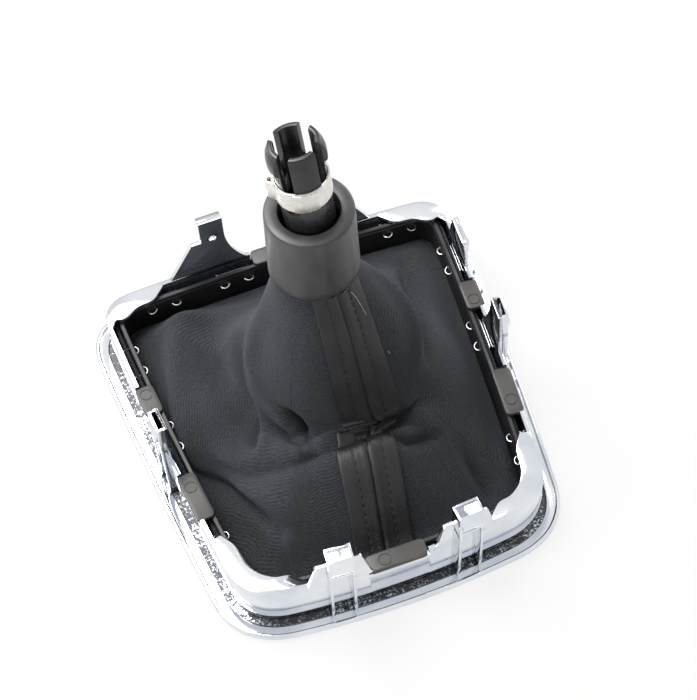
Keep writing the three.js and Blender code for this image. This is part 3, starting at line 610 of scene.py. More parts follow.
plating = Finish("plating", Base_Color=(0.86, 0.87, 0.9, 1), Metallic=1.0, Roughness=0.08)
section = plating.place((1 / mm, 1 / mm, 1), "section")
out_of_wall = plating.node("SeparateXYZ", {}, {0: section})
above_table = plating.node("SeparateXYZ", {}, {0: section}, 1)
in_groove = (out_of_wall > -2.25) * (out_of_wall < 0.95) * (above_table < 4.7) * (above_table > 1.1)
waves = plating.noise(55, 3, 0.5)
specks = plating.noise(1100, 2, 0.7)
# Painted shade: in the groove at the wall's foot, specks and waves turn the plating's colour nearly black,
# standing in for the shadow in that recess. The same mask also makes the plating rougher there.
groove_shade_and_dulling = in_groove * plating.span(specks + waves * 0.5, 0.56, 0.72)
plating.feed("Roughness", plating.span(waves, 0.3, 0.75, 0.05, 0.13) + groove_shade_and_dulling * 0.4)
bright = plating.mix(plating.span(waves, 0.35, 0.7), (0.66, 0.69, 0.74, 1), (0.83, 0.84, 0.86, 1))
plating.feed("Base Color", plating.mix(groove_shade_and_dulling * 0.93, bright, (0.03, 0.03, 0.035, 1)))
plating.feed("Normal", plating.bump(waves + specks * 0.04, 0.3 * mm, 0.35))
plating.paint(trim_ring)
settle(trim_ring, "chrome", "trim_ring")

# Gaiter frame
# A black plastic hoop that stands inside the wall. The cloth is stapled to it, and its flat tabs,
# each with the round mark of an ejector pin, hook over notches in the ring.
frame_inset, frame_thickness, frame_bottom, frame_top = 5.0 * mm, 2.2 * mm, 6.0 * mm, 22.4 * mm
frame_hoop = swept("frame_hoop", [(x * mm, z * mm) for x, z in (
    (5.0, 6.4), (5.4, 6.0), (6.8, 6.0), (7.2, 6.4), (7.2, 20.6), (6.9, 21.0), (6.9, 22.1), (6.6, 22.4),
    (5.4, 22.4),
    (5.0, 22.0))])
smooth(frame_hoop, 30)
tab_root, tab_overhang, tab_thickness, tab_top = -7.0 * mm, 0.6 * mm, 2.0 * mm, frame_top + 1.6 * mm
mark_radius, mark_core, mark_y = 2.6 * mm, 2.25 * mm, -3.1 * mm
tab_pieces = []
for side, position, length in tabs:
    half = length / 2
    corners = [(-half, tab_root), (half, tab_root), (half, tab_overhang), (-half, tab_overhang)]
    tab = plate("tab", [rounded(corners, 2.2 * mm)], tab_thickness, 0.4 * mm)
    tab.data.transform(Matrix.Translation((0, 0, tab_top - tab_thickness)))
    rings = []
    for radius, depth in ((mark_radius, 0.6 * mm), (mark_core, 1.4 * mm)):
        place = (length / 5, mark_y, tab_top)
        bpy.ops.mesh.primitive_cylinder_add(radius=radius, depth=depth, vertices=40, location=place)
        rings.append(bpy.context.object)
        bpy.ops.object.transform_apply(location=True, rotation=True, scale=True)
    carve(rings[0], rings[1])
    carve(tab, rings[0])
    tab.data.transform(on_wall(side, position))
    tab_pieces.append(tab)
frame_tabs = joined("frame_tabs", *tab_pieces)
smooth(frame_tabs, 35)

moulding = Finish("black_moulding", Base_Color=(0.012, 0.012, 0.013, 1), Roughness=0.35)
moulding.tint(moulding.noise(70, 3), (0.009, 0.009, 0.01), (0.02, 0.02, 0.021))
moulding.feed("Roughness", moulding.span(moulding.noise(60, 3), 0.3, 0.7, 0.28, 0.5))
moulding.feed("Normal", moulding.bump(moulding.noise(1400, 2, 0.6), 0.05 * mm, 0.4))
moulding.paint(frame_hoop)
tab_plastic = Finish("tab_plastic", Base_Color=(0.1, 0.095, 0.088, 1), Roughness=0.42)
cloud = tab_plastic.span(tab_plastic.noise(120, 3, 0.6), 0.3, 0.7)
tab_plastic.tint(cloud, (0.045, 0.043, 0.041), (0.068, 0.065, 0.061))
tab_plastic.feed("Roughness", tab_plastic.span(cloud, 0, 1, 0.36, 0.5))
tab_plastic.feed("Normal", tab_plastic.bump(tab_plastic.noise(900, 2), 0.04 * mm, 0.4))
tab_plastic.paint(frame_tabs)
for piece in (frame_hoop, frame_tabs):
    settle(piece, "frame_plastic", "gaiter_frame")

# Staples
# Bright steel wire, driven through the hem and the frame from outside. Each crown lies on the
# cloth, and the clinched tips curl back against the frame's inner face.
crown_half, staple_height, wire_radius = 7.5 * mm, 17.0 * mm, 0.34 * mm
crown_y, tip_y = -2.6 * mm, -8.6 * mm
leg_x = crown_half - wire_radius
half_staple = [Vector(p) for p in (
    (leg_x - 3.7 * mm, tip_y + 1.3 * mm, 0.3 * mm), (leg_x - 3.1 * mm, tip_y + 0.45 * mm, 0.1 * mm),
    (leg_x - 2.3 * mm, tip_y, 0), (leg_x - 1.2 * mm, tip_y - 0.05 * mm, 0),
    (leg_x - 0.4 * mm, tip_y + 0.4 * mm, 0), (leg_x, tip_y + 1.2 * mm, 0), (leg_x, crown_y - 0.4 * mm, 0),
    (leg_x - 0.4 * mm, crown_y, 0),
)]
other_half = [Vector((-p.x, p.y, p.z)) for p in reversed(half_staple)]


def wire_of(name, lines, radius):
    """Round wire or thread along open lines, with closed ends."""
    drawn = drawn_curve(lines, closed=False, flat=False)
    drawn.data.bevel_depth = radius
    drawn.data.bevel_resolution = 2
    drawn.data.use_fill_caps = True
    made = as_mesh(drawn, name)
    smooth(made, 60)
    return made


staple = wire_of("staple", [[*half_staple, *other_half]], wire_radius)
steel = Finish("staple_steel", Base_Color=(0.75, 0.74, 0.72, 1), Metallic=1.0, Roughness=0.28)
steel.tint(steel.noise(400, 3), (0.6, 0.59, 0.56), (0.88, 0.87, 0.85))
steel.feed("Roughness", steel.span(steel.noise(900, 2), 0.3, 0.7, 0.2, 0.4))
steel.paint(staple)
staple_places = [
    *[("back", x * mm) for x in (-50.3, -17.6, 17.6, 56)],
    *[(side, y * mm) for y in (49, 9, -47) for side in ("left", "right")],
    *[("front", x * mm) for x in (-40, 0, 40)],
]
for count, (side, position) in enumerate(staple_places, 1):
    driven = copied(staple, f"driven_staple_{count:02d}")
    driven.data.transform(on_wall(side, position) @ Matrix.Translation((0, 0, staple_height)))
    settle(driven, "staple_steel", f"staple_{count:02d}")
bpy.data.objects.remove(staple)

# Gaiter
# A cone of faced cloth turned inside out, so its knitted backing shows. It falls from the collar,
# folds over itself in front, and its hem goes under the frame and up outside it.
neck_x, neck_y, cloth_top, cloth_neck = 0.0, 10.0 * mm, 103.0 * mm, 14.0 * mm
cloth_thickness, fit_gap = 1.2 * mm, 0.3 * mm
hem_inner = frame_inset + frame_thickness + fit_gap + cloth_thickness / 2
hem_outer = frame_inset - fit_gap - cloth_thickness / 2
hem_bottom = frame_bottom - fit_gap - cloth_thickness / 2
hem_top = 20.0 * mm

# Bearing about the neck, then reach (0 collar, 1 frame) and rise (1 collar, 0 hem) in turn.
falls = [
    (-122, 0.10, 0.86, 0.22, 0.66, 0.32, 0.47, 0.32, 0.35, 0.40, 0.29, 0.54, 0.34, 0.74, 0.25, 0.91, 0.08),
    (-90, 0.10, 0.86, 0.22, 0.64, 0.32, 0.45, 0.32, 0.34, 0.40, 0.30, 0.56, 0.35, 0.77, 0.23, 0.92, 0.07),
    (-60, 0.12, 0.85, 0.26, 0.64, 0.37, 0.45, 0.38, 0.31, 0.44, 0.28, 0.57, 0.28, 0.76, 0.18, 0.92, 0.06),
    (-25, 0.13, 0.85, 0.29, 0.70, 0.43, 0.53, 0.51, 0.35, 0.61, 0.25, 0.74, 0.17, 0.86, 0.10, 0.95, 0.05),
    (15, 0.12, 0.83, 0.26, 0.66, 0.39, 0.50, 0.50, 0.35, 0.62, 0.24, 0.76, 0.15, 0.87, 0.09, 0.95, 0.05),
    (60, 0.10, 0.80, 0.22, 0.58, 0.36, 0.40, 0.50, 0.27, 0.63, 0.18, 0.76, 0.12, 0.87, 0.08, 0.95, 0.05),
    (120, 0.09, 0.80, 0.20, 0.58, 0.34, 0.40, 0.48, 0.27, 0.62, 0.17, 0.75, 0.11, 0.87, 0.07, 0.95, 0.05),
    (165, 0.09, 0.83, 0.18, 0.65, 0.28, 0.48, 0.38, 0.31, 0.54, 0.20, 0.70, 0.16, 0.84, 0.11, 0.95, 0.05),
    (205, 0.09, 0.85, 0.19, 0.67, 0.29, 0.51, 0.34, 0.34, 0.43, 0.24, 0.58, 0.22, 0.78, 0.16, 0.94, 0.06),
]
fall_steps = 150


def smooth_through(before, start, end, after, t):
    """Catmull-Rom curve from start to end."""
    bend = (2 * before - 5 * start + 4 * end - after) * t**2
    twist = (3 * start - 3 * end + after - before) * t**3
    return 0.5 * (2 * start + (end - before) * t + bend + twist)


def fall_at(bearing):
    """The fall on a bearing in degrees, blended from the falls about it."""
    table_of = np.array([(fall[0] + turn, *fall[1:]) for turn in (-360, 0, 360) for fall in falls])
    table_of = table_of[np.argsort(table_of[:, 0])]
    k = int(np.searchsorted(table_of[:, 0], bearing, side="right"))
    t = (bearing - table_of[k - 1, 0]) / (table_of[k, 0] - table_of[k - 1, 0])
    return smooth_through(*(table_of[k + d, 1:] for d in (-2, -1, 0, 1)), t)


def fall_line(foot, steps=fall_steps):
    """Middle line of the cloth from the collar to a foot on the frame, as rows of (radius, z)."""
    off = np.array([foot[0] - neck_x, foot[1] - neck_y])
    bearing, edge = math.degrees(math.atan2(off[1], off[0])), float(np.hypot(*off))
    span, drop = edge - cloth_neck, cloth_top - hem_bottom
    round_span = (wall_length + back_half + front_half) / 4 - hem_inner - cloth_neck
    fall = fall_at(bearing)
    reach, rise = fall[0::2], fall[1::2]
    out = reach * (round_span + (span - round_span) * reach**2.5)
    lines = np.column_stack([cloth_neck + out, hem_bottom + rise * drop])
    knots = np.vstack([[cloth_neck, cloth_top], lines, [edge, hem_bottom + 2.4 * mm]])
    padded = np.vstack([knots[0], knots, knots[-1]])
    places = np.linspace(0, len(knots) - 1, steps + 1)
    first = np.minimum(places.astype(int), len(knots) - 2)
    t = (places - first)[:, None]
    return smooth_through(*(padded[first + d] for d in range(4)), t)


feet = np.array([p[:2] for p in ring_plan(hem_inner, 44, 26)])
hem_rows = [
    [(p[0], p[1], z) for p in ring_plan(row_inset, 44, 26)]
    for row_inset, z in (
        (hem_inner - 0.15 * mm, hem_bottom + 0.9 * mm), (hem_inner - 0.9 * mm, hem_bottom),
        (hem_outer + 0.9 * mm, hem_bottom), (hem_outer + 0.15 * mm, hem_bottom + 0.9 * mm),
        (hem_outer, hem_bottom + 2 * mm), (hem_outer, hem_top),
    )
]
neck_lifts = [13 * mm, 9 * mm, 5 * mm, 2 * mm]
neck_rows = len(neck_lifts)
columns = []
for foot in feet:
    out = (foot - (neck_x, neck_y)) / np.hypot(*(foot - (neck_x, neck_y)))
    line = np.vstack([[(cloth_neck, cloth_top + lift) for lift in neck_lifts], fall_line(foot)])
    columns.append(np.column_stack([neck_x + out[0] * line[:, 0], neck_y + out[1] * line[:, 0], line[:, 1]]))
cloth = np.array(columns).transpose(1, 0, 2)  # rows from the collar down, columns round it

# Folds, each a line of points in mm on the cloth, with its half width and its height, which is
# below zero where the cloth goes in. A step rises on its left side and sinks on its right.
folds = [
    ("ridge", 4.5, 3.5, [(-17, 12, 82), (-22, 12, 68), (-27, 8, 55), (-28, 4, 48)]),
    ("valley", 5.5, -6.0, [(-30, 30, 38), (-33, 20, 34), (-35, 12, 31), (-36, 2, 28)]),
    ("crease", 2.2, -6.5, [(-28, 12, 50), (-25, -1, 47), (-21, -11, 42), (-18, -18, 35), (-17, -30, 40)]),
    ("ridge", 2.3, 3.0, [(-29, 5, 39), (-25, -6, 40), (-22, -14, 35), (-20, -22, 34)]),
    ("crease", 1.9, -3.4, [(-29, -4, 33), (-26, -12, 32), (-23, -22, 35), (-20, -30, 39)]),
    ("crease", 1.9, -6.0, [(-33, 6, 32), (-35, -4, 28), (-38, -15, 29)]),
    ("ridge", 2.1, 2.8, [(-29, 1, 35), (-32, -6, 29), (-35, -16, 31), (-39, -19, 29)]),
    ("step", 4.5, 4.5, [(-18, -30, 40), (-8, -29, 37), (1, -26, 34), (9, -25, 34), (20, -21, 33)]),
    ("step", 4.0, 2.5, [(19, -21, 33), (24, -25, 32), (28, -31, 31)]),
    ("crease", 2.6, -4.5, [(13, -32, 36), (19, -37, 32), (32, -35, 28)]),
    ("valley", 3.6, -3.5, [(-58, -2, 14), (-52, -15, 19), (-43, -25, 26), (-31, -31, 35), (-19, -33, 39)]),
    ("crease", 3.2, -7.0, [(-61, -6, 9), (-55, -19, 15), (-50, -30, 18), (-45, -41, 21), (-40, -50, 21)]),
    ("ridge", 6.0, 5.0, [(-44, 65, 11), (-53, 40, 17), (-58, 21, 16), (-59, 6, 14), (-59, -6, 12)]),
    ("valley", 6.5, -5.5, [(-36, 56, 15), (-40, 29, 25), (-39, 11, 27), (-38, -3, 27)]),
    ("ridge", 4.5, 3.0, [(24, 14, 85), (30, 8, 72), (34, 1, 62), (35, -6, 54), (33, -12, 47)]),
    ("valley", 4.5, -6.0, [(51, 57, 15), (52, 42, 20), (47, 18, 28), (40, -3, 36)]),
    ("valley", 4.5, -4.0, [(40, -42, 20), (43, -51, 15), (45, -62, 9)]),
    ("ridge", 5.0, 3.0, [(56, -39, 9), (56, -50, 8), (55, -59, 8)]),
    ("ridge", 5.0, 2.5, [(-58, 60, 10), (-36, 62, 12), (-20, 58, 17)]),
    ("ridge", 6.0, 2.5, [(-43, -29, 26), (-33, -43, 29), (-22, -56, 19)]),
    ("valley", 6.0, -3.0, [(-52, -35, 14), (-48, -49, 15), (-44, -58, 12)]),
]


def cloth_normals(sheet):
    """Unit normals of a grid of points that closes on itself sideways."""
    down = np.gradient(sheet, axis=0)
    around = np.roll(sheet, -1, axis=1) - np.roll(sheet, 1, axis=1)
    normal = np.cross(down, around)
    return normal / np.maximum(np.linalg.norm(normal, axis=2, keepdims=True), 1e-12)


normals = cloth_normals(cloth)
fold_scale = 1.3
move = np.zeros(cloth.shape[:2])
for kind, half_width, height, line in folds:
    line = np.array(line) * mm
    nearest, share, side_of = np.full(move.shape, np.inf), np.zeros(move.shape), np.ones(move.shape)
    lengths = np.linalg.norm(np.diff(line, axis=0), axis=1)
    for k, (a, b) in enumerate(zip(line[:-1], line[1:])):
        t = np.clip(((cloth - a) @ (b - a)) / lengths[k] ** 2, 0, 1)
        off = cloth - a - t[..., None] * (b - a)
        gap = np.linalg.norm(off, axis=2)
        closer = gap < nearest
        nearest = np.where(closer, gap, nearest)
        share = np.where(closer, (lengths[:k].sum() + t * lengths[k]) / lengths.sum(), share)
        side_of = np.where(closer, np.sign((np.cross(b - a, off) * normals).sum(axis=2)), side_of)
    width = half_width * mm
    taper = np.sin(np.pi * np.clip(0.08 + 0.84 * share, 0, 1)) ** 0.6
    profile = {
        "crease": 1 / (1 + (nearest / width) ** 2) ** 2,
        "ridge": np.exp(-((nearest / width) ** 2)),
        "valley": np.exp(-((nearest / width) ** 2)),
        "step": side_of * np.exp(-((nearest / (1.6 * width)) ** 2)) * np.tanh(2 * nearest / width),
    }[kind]
    move += fold_scale * height * mm * taper * profile
scatter = np.random.default_rng(7)
for _ in range(14):  # the supple knit is never quite smooth
    wave = scatter.normal(size=3) / (9 * mm)
    move += 0.16 * mm * np.sin(cloth @ wave + scatter.uniform(0, 2 * math.pi))
move[: neck_rows + 8] *= np.linspace(0, 1, neck_rows + 8)[:, None] ** 2
move[-16:] *= np.linspace(1, 0, 16)[:, None]
cloth = cloth + normals * move[..., None]
for _ in range(3):
    cloth[1:-1] += 0.2 * (cloth[:-2] + cloth[2:] - 2 * cloth[1:-1])
    cloth += 0.2 * (np.roll(cloth, 1, axis=1) + np.roll(cloth, -1, axis=1) - 2 * cloth)

grid = np.concatenate([cloth, np.array(hem_rows)])
rows, around = grid.shape[:2]
run = np.zeros(grid.shape[:2])
run[1:] = np.cumsum(np.linalg.norm(np.diff(grid, axis=0), axis=2), axis=0)
bearings = np.degrees(np.arctan2(feet[:, 1] - neck_y, feet[:, 0] - neck_x))
sideways = (bearings > -48) & (bearings < 40) | (bearings > 140) | (bearings < -132)
faces = [
    (r * around + c, (r + 1) * around + c, (r + 1) * around + (c + 1) % around,
        r * around + (c + 1) % around)
    for r in range(rows - 1) for c in range(around)
]
gaiter_mesh = bpy.data.meshes.new("knitted_gaiter")
gaiter_mesh.from_pydata(grid.reshape(-1, 3).tolist(), [], faces)
gaiter = bpy.data.objects.new("knitted_gaiter", gaiter_mesh)
bpy.context.collection.objects.link(gaiter)
weave = gaiter_mesh.uv_layers.new(name="weave")
flat_x = np.where(sideways[None, :], grid[..., 1], grid[..., 0])
corners = np.array([loop.vertex_index for loop in gaiter_mesh.loops])
uv = np.column_stack([flat_x.reshape(-1)[corners], run.reshape(-1)[corners]])
weave.data.foreach_set("uv", uv.astype(np.float32).ravel())
face_outwards(gaiter)
cloth_body = gaiter.modifiers.new("cloth", "SOLIDIFY")
cloth_body.thickness = cloth_thickness
cloth_body.offset = 0
bpy.ops.object.modifier_apply(modifier="cloth")
bpy.ops.object.shade_smooth()

knit = Finish("knit", Base_Color=(0.03, 0.033, 0.04, 1), Roughness=0.95, Sheen_Weight=0.12,
              Sheen_Roughness=0.5, Sheen_Tint=(0.7, 0.74, 0.85, 1))
on_cloth = knit.place((1 / mm, 1 / mm, 1), "weave")
across_at, down_at = (knit.node("SeparateXYZ", {}, {0: on_cloth}, k) for k in (0, 1))
stray = knit.noise(1.1, 2, 0.5, on_cloth) - 0.5
slant = ((across_at * 0.55 + down_at + stray * 1.3) * (2 * math.pi / 1.15)).math("SINE")
stitch_noise = knit.noise(1.0, 2, 0.6, knit.place((0.75 / mm, 1.7 / mm, 1), "weave"))
fuzz = knit.noise(2600, 2, 0.7)
relief = slant * 0.5 + (stitch_noise - 0.5) * 3.0 + (fuzz - 0.5) * 1.6
patch = knit.noise(30, 3, 0.55)
# Painted shade and light: the base colour follows the same relief as the bump, nearly black in the knit's
# hollows and lighter on its ribs, over a patchy tone.
low = knit.mix(patch, (0.004, 0.0046, 0.0055, 1), (0.006, 0.007, 0.0085, 1))
high = knit.mix(patch, (0.046, 0.051, 0.059, 1), (0.06, 0.066, 0.076, 1))
knit.feed("Base Color", knit.mix(knit.span(relief, -1.1, 1.3), low, high))
knit.feed("Normal", knit.bump(relief, 0.3 * mm, 0.8))
knit.paint(gaiter)
settle(gaiter, "knit", "gaiter")

# Seam strip
# Dark leather from the gaiter's outer side, turned over its front seam. The seam runs down the
# middle, with a row of topstitching each side.
strip_half_top, strip_half_foot = 9.0 * mm, 11.8 * mm
strip_gap, strip_thickness = 0.62 * mm, 0.8 * mm
first_row, last_row = neck_rows + 3, len(cloth) - 3
strip_rows = last_row - first_row + 1
# How far right of the middle the strip lies, in mm, from its top down.
centre_shifts = [3, 4, 5, 6, 7, 7.6, 8, 6.5, 3, 1, -0.5, -2, -3, -3]
normals = cloth_normals(cloth)
front_columns = np.where(np.abs(bearings + 90) < 80)[0]
front_columns = front_columns[np.argsort(bearings[front_columns])]
laterals = np.concatenate([
    [-1, -0.985, -0.95], np.linspace(-0.9, -0.08, 18), [-0.05, -0.02, 0, 0.02, 0.05],
    np.linspace(0.08, 0.9, 18),
    [0.95, 0.985, 1],
])


def over_cloth(row, x, lift):
    """A point at a height over the cloth, where one of its rows crosses a sideways place."""
    line, facing = cloth[row, front_columns], normals[row, front_columns]
    rising = np.maximum.accumulate(line[:, 0]) + np.arange(len(line)) * 1e-9
    point = np.array([np.interp(x, rising, line[:, k]) for k in range(3)])
    normal = np.array([np.interp(x, rising, facing[:, k]) for k in range(3)])
    return point + normal / np.linalg.norm(normal) * lift


down_strip = np.linspace(0, 1, strip_rows)
half_widths = strip_half_top + (strip_half_foot - strip_half_top) * np.clip(down_strip * 3.2, 0, 1)
centres = np.interp(down_strip, np.linspace(0, 1, len(centre_shifts)), centre_shifts) * mm
stitch_offset = 0.47
tops, unders = [], []
for k in range(strip_rows):
    half = half_widths[k]
    upper, lower = [], []
    for s in laterals:
        d = abs(s) * half / mm
        seam = -0.5 * math.exp(-((d / 0.45) ** 2)) + 0.4 * math.exp(-(((d - 1.7) / 1.1) ** 2))
        channel = -0.28 * math.exp(-(((d - stitch_offset * half / mm) / 0.5) ** 2))
        edge = -0.55 * max(0, (abs(s) - 0.95) / 0.05) ** 2
        lift = cloth_thickness / 2 + strip_gap
        relief_here = (seam + channel + edge) * mm
        upper.append(over_cloth(first_row + k, centres[k] + s * half, lift + strip_thickness + relief_here))
        lower.append(over_cloth(first_row + k, centres[k] + s * half, lift))
    tops.append(upper)
    unders.append(lower)
tops, unders = np.array(tops), np.array(unders)
for layer in (tops, unders):
    for _ in range(6):
        layer[1:-1] += 0.25 * (layer[:-2] + layer[2:] - 2 * layer[1:-1])
count_down, count_across = tops.shape[:2]
under = count_down * count_across
strip_faces = []
for r in range(count_down - 1):
    for c in range(count_across - 1):
        a, b = r * count_across + c, (r + 1) * count_across + c
        strip_faces += [(a, b, b + 1, a + 1), (under + a + 1, under + b + 1, under + b, under + a)]
    for c in (0, count_across - 1):
        a, b = r * count_across + c, (r + 1) * count_across + c
        strip_faces.append((a, under + a, under + b, b))
for r in (0, count_down - 1):
    for c in range(count_across - 1):
        a = r * count_across + c
        strip_faces.append((a, a + 1, under + a + 1, under + a))
strip_mesh = bpy.data.meshes.new("leather_strip")
strip_mesh.from_pydata(np.concatenate([tops.reshape(-1, 3), unders.reshape(-1, 3)]).tolist(), [],
    strip_faces)
strip = bpy.data.objects.new("leather_strip", strip_mesh)
bpy.context.collection.objects.link(strip)
face_outwards(strip, 0.001 * mm)
smooth(strip, 50)


def strip_place(k, lateral, lift):
    """A point over the strip, between its rows."""
    k0 = min(int(k), count_down - 2)
    c = min(max(int(np.argmin(np.abs(laterals - lateral))), 1), count_across - 2)
    point = tops[k0, c] * (1 - k + k0) + tops[k0 + 1, c] * (k - k0)
    down = tops[min(k0 + 2, count_down - 1), c] - tops[max(k0 - 1, 0), c]
    normal = np.cross(down, tops[k0, c + 1] - tops[k0, c - 1])
    return Vector(point + normal / np.linalg.norm(normal) * lift)


stitch_length, stitch_gap, thread_radius = 2.5 * mm, 0.9 * mm, 0.24 * mm
stitches = []
for lateral in (-stitch_offset, stitch_offset):
    path = [strip_place(k, lateral, 0) for k in np.arange(0, count_down - 1.01, 0.25)]
    travelled = np.concatenate([[0], np.cumsum([(b - a).length for a, b in zip(path[:-1], path[1:])])])
    begin = 1.0 * mm
    while begin + stitch_length < travelled[-1]:
        along = [begin + stitch_length * t for t in (0, 0.15, 0.5, 0.85, 1)]
        ks = np.interp(along, travelled, np.arange(len(travelled)) * 0.25)
        lifts = (-0.25, 0.1, 0.18, 0.1, -0.25)
        stitches.append([strip_place(k, lateral, lift * mm) for k, lift in zip(ks, lifts)])
        begin += stitch_length + stitch_gap
stitching = wire_of("topstitching", stitches, thread_radius)
loose_ends = [
    [(-4, -5.6, 99.5), (-3.6, -6.8, 97), (-3.3, -8.3, 94), (-3.8, -9.8, 90), (-3.2, -10.9, 86.5)],
    [(9, -5, 99), (10.3, -5.2, 96), (11.5, -6.3, 92.5), (13, -8.2, 87), (14, -9.6, 82)],
    [(-2.6, -11.2, 85), (-3.1, -11.8, 83.6), (-2.9, -12.1, 82.6)],
    [(19.2, -14.5, 66.5), (19.7, -14.9, 65.3)],
]
thread_ends = wire_of("thread_ends", [[Vector(p) * mm for p in line] for line in loose_ends], 0.14 * mm)

leather = Finish("leather", Base_Color=(0.022, 0.022, 0.023, 1), Roughness=0.42)
pore_gaps = {"Vector": leather.place(), "Scale": 900}
pores = leather.span(leather.node("TexVoronoi", {"feature": "DISTANCE_TO_EDGE"}, pore_gaps), 0, 0.25)
worn = leather.noise(90, 4, 0.6)
leather.tint(leather.span(worn, 0.3, 0.75), (0.009, 0.009, 0.0095), (0.022, 0.022, 0.023))
leather.feed("Roughness", leather.span(worn, 0.3, 0.7, 0.34, 0.52))
leather.feed("Normal", leather.bump(pores + worn, 0.12 * mm, 0.5))
leather.paint(strip)
black_thread = Finish("black_thread", Base_Color=(0.006, 0.006, 0.006, 1), Roughness=0.5)
black_thread.tint(black_thread.noise(1500), (0.004, 0.004, 0.004), (0.014, 0.014, 0.014))
black_thread.paint(stitching)
pale_thread = Finish("pale_thread", Base_Color=(0.55, 0.55, 0.53, 1), Roughness=0.7)
pale_thread.tint(pale_thread.noise(900), (0.32, 0.32, 0.31), (0.66, 0.66, 0.64))
pale_thread.paint(thread_ends)
for piece in (strip, stitching, thread_ends):
    settle(piece, "leather", "seam_strip")

# Collar sleeve
# A satin black tube of soft plastic. The cloth goes up into its skirt, and its upper rim is thick.
def lathe(name, profile, segments=128, closed=True):
    """Turns a profile of (radius, z) round the vertical axis."""
    drawn = drawn_curve([profile], closed=closed)
    drawn.data.fill_mode = "NONE"
    made = as_mesh(drawn, name)
    made.data.transform(Matrix.Rotation(math.pi / 2, 4, "X"))
    pick(made)
    turn = made.modifiers.new("turn", "SCREW")
    turn.axis = "Z"
    turn.angle = 2 * math.pi
    turn.steps = turn.render_steps = segments
    turn.use_merge_vertices = True
    turn.merge_threshold = 0.01 * mm
    bpy.ops.object.modifier_apply(modifier="turn")
    face_outwards(made, 0.01 * mm)
    return made


collar = lathe("collar", [(r * mm, z * mm) for r, z in (
    (15.6, 103), (16.7, 103), (17.05, 103.15), (17.3, 103.6), (17.28, 106), (17.15, 112), (17.0, 120),
    (16.85, 128), (16.7, 134.6), (16.6, 135.3), (16.3, 135.8), (15.9, 136), (12.2, 136), (11.7, 135.8),
    (11.4, 135.4),
    (11.3, 134.9), (11.3, 128), (15.6, 128))])
collar.data.transform(Matrix.Translation((neck_x, neck_y, 0)))
smooth(collar, 30)
satin = Finish("satin_plastic", Base_Color=(0.06, 0.06, 0.061, 1), Roughness=0.38)
streaks = satin.noise(1.0, 3, 0.6, satin.place((160, 160, 22)))
mottle = satin.noise(140, 4, 0.65)
# The vertical streaks are partly real, in the roughness and bump, and partly painted reflection: they
# lighten and darken the colour in vertical bands.
satin.tint(satin.span(streaks + mottle, 0.75, 1.25), (0.045, 0.045, 0.046), (0.072, 0.072, 0.073))
satin.feed("Roughness", satin.span(streaks, 0.3, 0.7, 0.3, 0.46))
satin.feed("Normal", satin.bump(mottle + streaks, 0.08 * mm, 0.4))
satin.paint(collar)
settle(collar, "satin_plastic", "collar_sleeve")

# Lever neck
# Glossy black moulding of the knob: a shank, a socket for the lever, and four springy fingers, of
# which the left and right ones have a bulged head with a ledge under it.
neck_top, pivot, slot_width, slot_floor = 172.0 * mm, 134.0 * mm, 4.4 * mm, 143.0 * mm
tilt_back, tilt_side = Matrix.Rotation(math.radians(-5), 4, "X"), Matrix.Rotation(math.radians(-3.5), 4, "Y")
from_pivot, to_pivot = Matrix.Translation((neck_x, neck_y, pivot)), Matrix.Translation((0, 0, -pivot))
lean = from_pivot @ tilt_back @ tilt_side @ to_pivot
tip = neck_top / mm
neck = lathe("neck", [(r * mm, z * mm) for r, z in (
    (0, 66), (7.4, 66), (8, 66.6), (8, 128), (9.5, 130), (9.5, tip - 0.8), (9.2, tip - 0.2), (8.7, tip),
    (7.9, tip),
    (7.5, tip - 0.2), (7.3, tip - 0.8), (7.3, 112), (0, 112))], 96, closed=False)
heads = lathe("heads", [(r * mm, z * mm) for r, z in (
    (8.6, tip - 10), (10.2, tip - 9.8), (10.75, tip - 9.4), (10.9, tip - 8.7), (10.9, tip - 5.4),
    (10.6, tip - 3.6),
    (10.0, tip - 2), (9.4, tip - 1), (8.6, tip - 1))], 96)
sides = block("sides", (-13 * mm, -4.75 * mm, 150 * mm), (13 * mm, 4.75 * mm, 180 * mm))
carve(heads, sides, operation="INTERSECT")
carve(neck, heads, operation="UNION")
for turn in (45, -45):
    slit_high = (15 * mm, slot_width / 2, neck_top + 5 * mm)
    slit = block("slit", (-15 * mm, -slot_width / 2, slot_floor), slit_high)
    slit.data.transform(Matrix.Rotation(math.radians(turn), 4, "Z"))
    carve(neck, slit)
soften(neck, 0.3 * mm, 2, 50)
neck.data.transform(lean)
smooth(neck, 35)
gloss = Finish("gloss_plastic", Base_Color=(0.022, 0.022, 0.024, 1), Roughness=0.22)
wear = gloss.noise(180, 4, 0.65)
gloss.tint(gloss.span(wear, 0.35, 0.7), (0.016, 0.016, 0.018), (0.038, 0.038, 0.04))
gloss.feed("Roughness", gloss.span(wear, 0.3, 0.7, 0.16, 0.36))
gloss.feed("Normal", gloss.bump(wear, 0.15 * mm, 0.35))
gloss.paint(neck)
settle(neck, "gloss_plastic", "lever_neck")

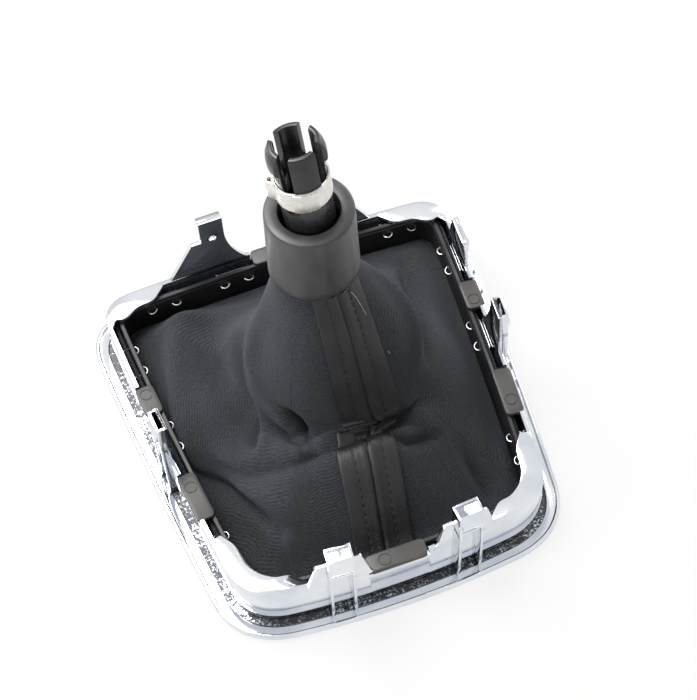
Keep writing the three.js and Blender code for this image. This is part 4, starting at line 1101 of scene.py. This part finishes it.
# Ear clamp
# A pale plated steel band that closes the fingers. Its ear is pinched at the left, and its free
# end laps over the front.
clamp_bottom, clamp_height, clamp_inner, clamp_outer = 146.0 * mm, 9.3 * mm, 9.7 * mm, 10.4 * mm
clamp_top = clamp_bottom + clamp_height
band = lathe("band", [
    (clamp_inner, clamp_bottom), (clamp_outer - 0.2 * mm, clamp_bottom),
    (clamp_outer, clamp_bottom + 0.2 * mm),
    (clamp_outer, clamp_top - 0.2 * mm), (clamp_outer - 0.2 * mm, clamp_top), (clamp_inner, clamp_top)])
lap_out, lap_in = clamp_outer + 0.5 * mm, clamp_outer - 0.3 * mm
lap_arc = [math.radians(-126 + 50 * step / 24) for step in range(25)]
lap_outline = [(lap_out * math.cos(a), lap_out * math.sin(a)) for a in lap_arc]
lap_outline += [(lap_in * math.cos(a), lap_in * math.sin(a)) for a in reversed(lap_arc)]
lap = plate("lap", [lap_outline], clamp_height - 0.6 * mm, 0.12 * mm)
lap.data.transform(Matrix.Translation((0, 0, clamp_bottom + 0.3 * mm)))
ear_tip = clamp_outer / mm + 2.6
ear_side = [(-ear_tip, -0.6), (-ear_tip + 0.2, -1.1), (-ear_tip + 0.8, -1.65), (-10.9, -2.1), (-9.9, -3.0)]
gap_side = [(-ear_tip + 0.9, -0.5), (-ear_tip + 1.3, -0.9), (-10.6, -1.4)]
ear_outlines = [
    [(x * mm, y * mm) for x, y in (*half, *[(x, -y) for x, y in reversed(half)])]
    for half in (ear_side, gap_side)
]
ear = plate("ear", ear_outlines, clamp_height - 0.8 * mm, 0.12 * mm)
ear_turn = Matrix.Rotation(math.radians(-15), 4, "Z")
ear.data.transform(ear_turn @ Matrix.Translation((0, 0, clamp_bottom + 0.4 * mm)))
clamp = joined("clamp", band, lap, ear)
clamp.data.transform(lean)
smooth(clamp, 35)
plated = Finish("clamp_steel", Base_Color=(0.8, 0.76, 0.72, 1), Metallic=0.85, Roughness=0.3)
scuffs = plated.noise(1.0, 3, 0.6, plated.place((500, 500, 2500)))
stain = plated.noise(220, 3, 0.6)
plated.tint(plated.span(stain + scuffs, 0.75, 1.25), (0.68, 0.64, 0.6), (0.9, 0.87, 0.83))
plated.feed("Roughness", plated.span(scuffs, 0.3, 0.7, 0.22, 0.42))
plated.feed("Normal", plated.bump(scuffs + stain, 0.06 * mm, 0.4))
plated.paint(clamp)
settle(clamp, "clamp_steel", "ear_clamp")

# Tie ring and knob
# A plastic hoop presses the cloth against the collar's skirt. The knob hangs upside down inside
# the gaiter: a leather grip, a bright ring and a glossy cap.
polished = Finish("polished_ring", Base_Color=(0.9, 0.9, 0.92, 1), Metallic=1.0, Roughness=0.1)
polished.feed("Roughness", polished.span(polished.noise(200, 3), 0.3, 0.7, 0.07, 0.16))
for name, finish in (
    ("gaiter_tie_ring", moulding), ("knob_grip", leather), ("knob_ring", polished), ("knob_cap", gloss),
):
    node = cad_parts[name]
    for k in range(len(node.data.materials)):
        node.data.materials[k] = finish.material
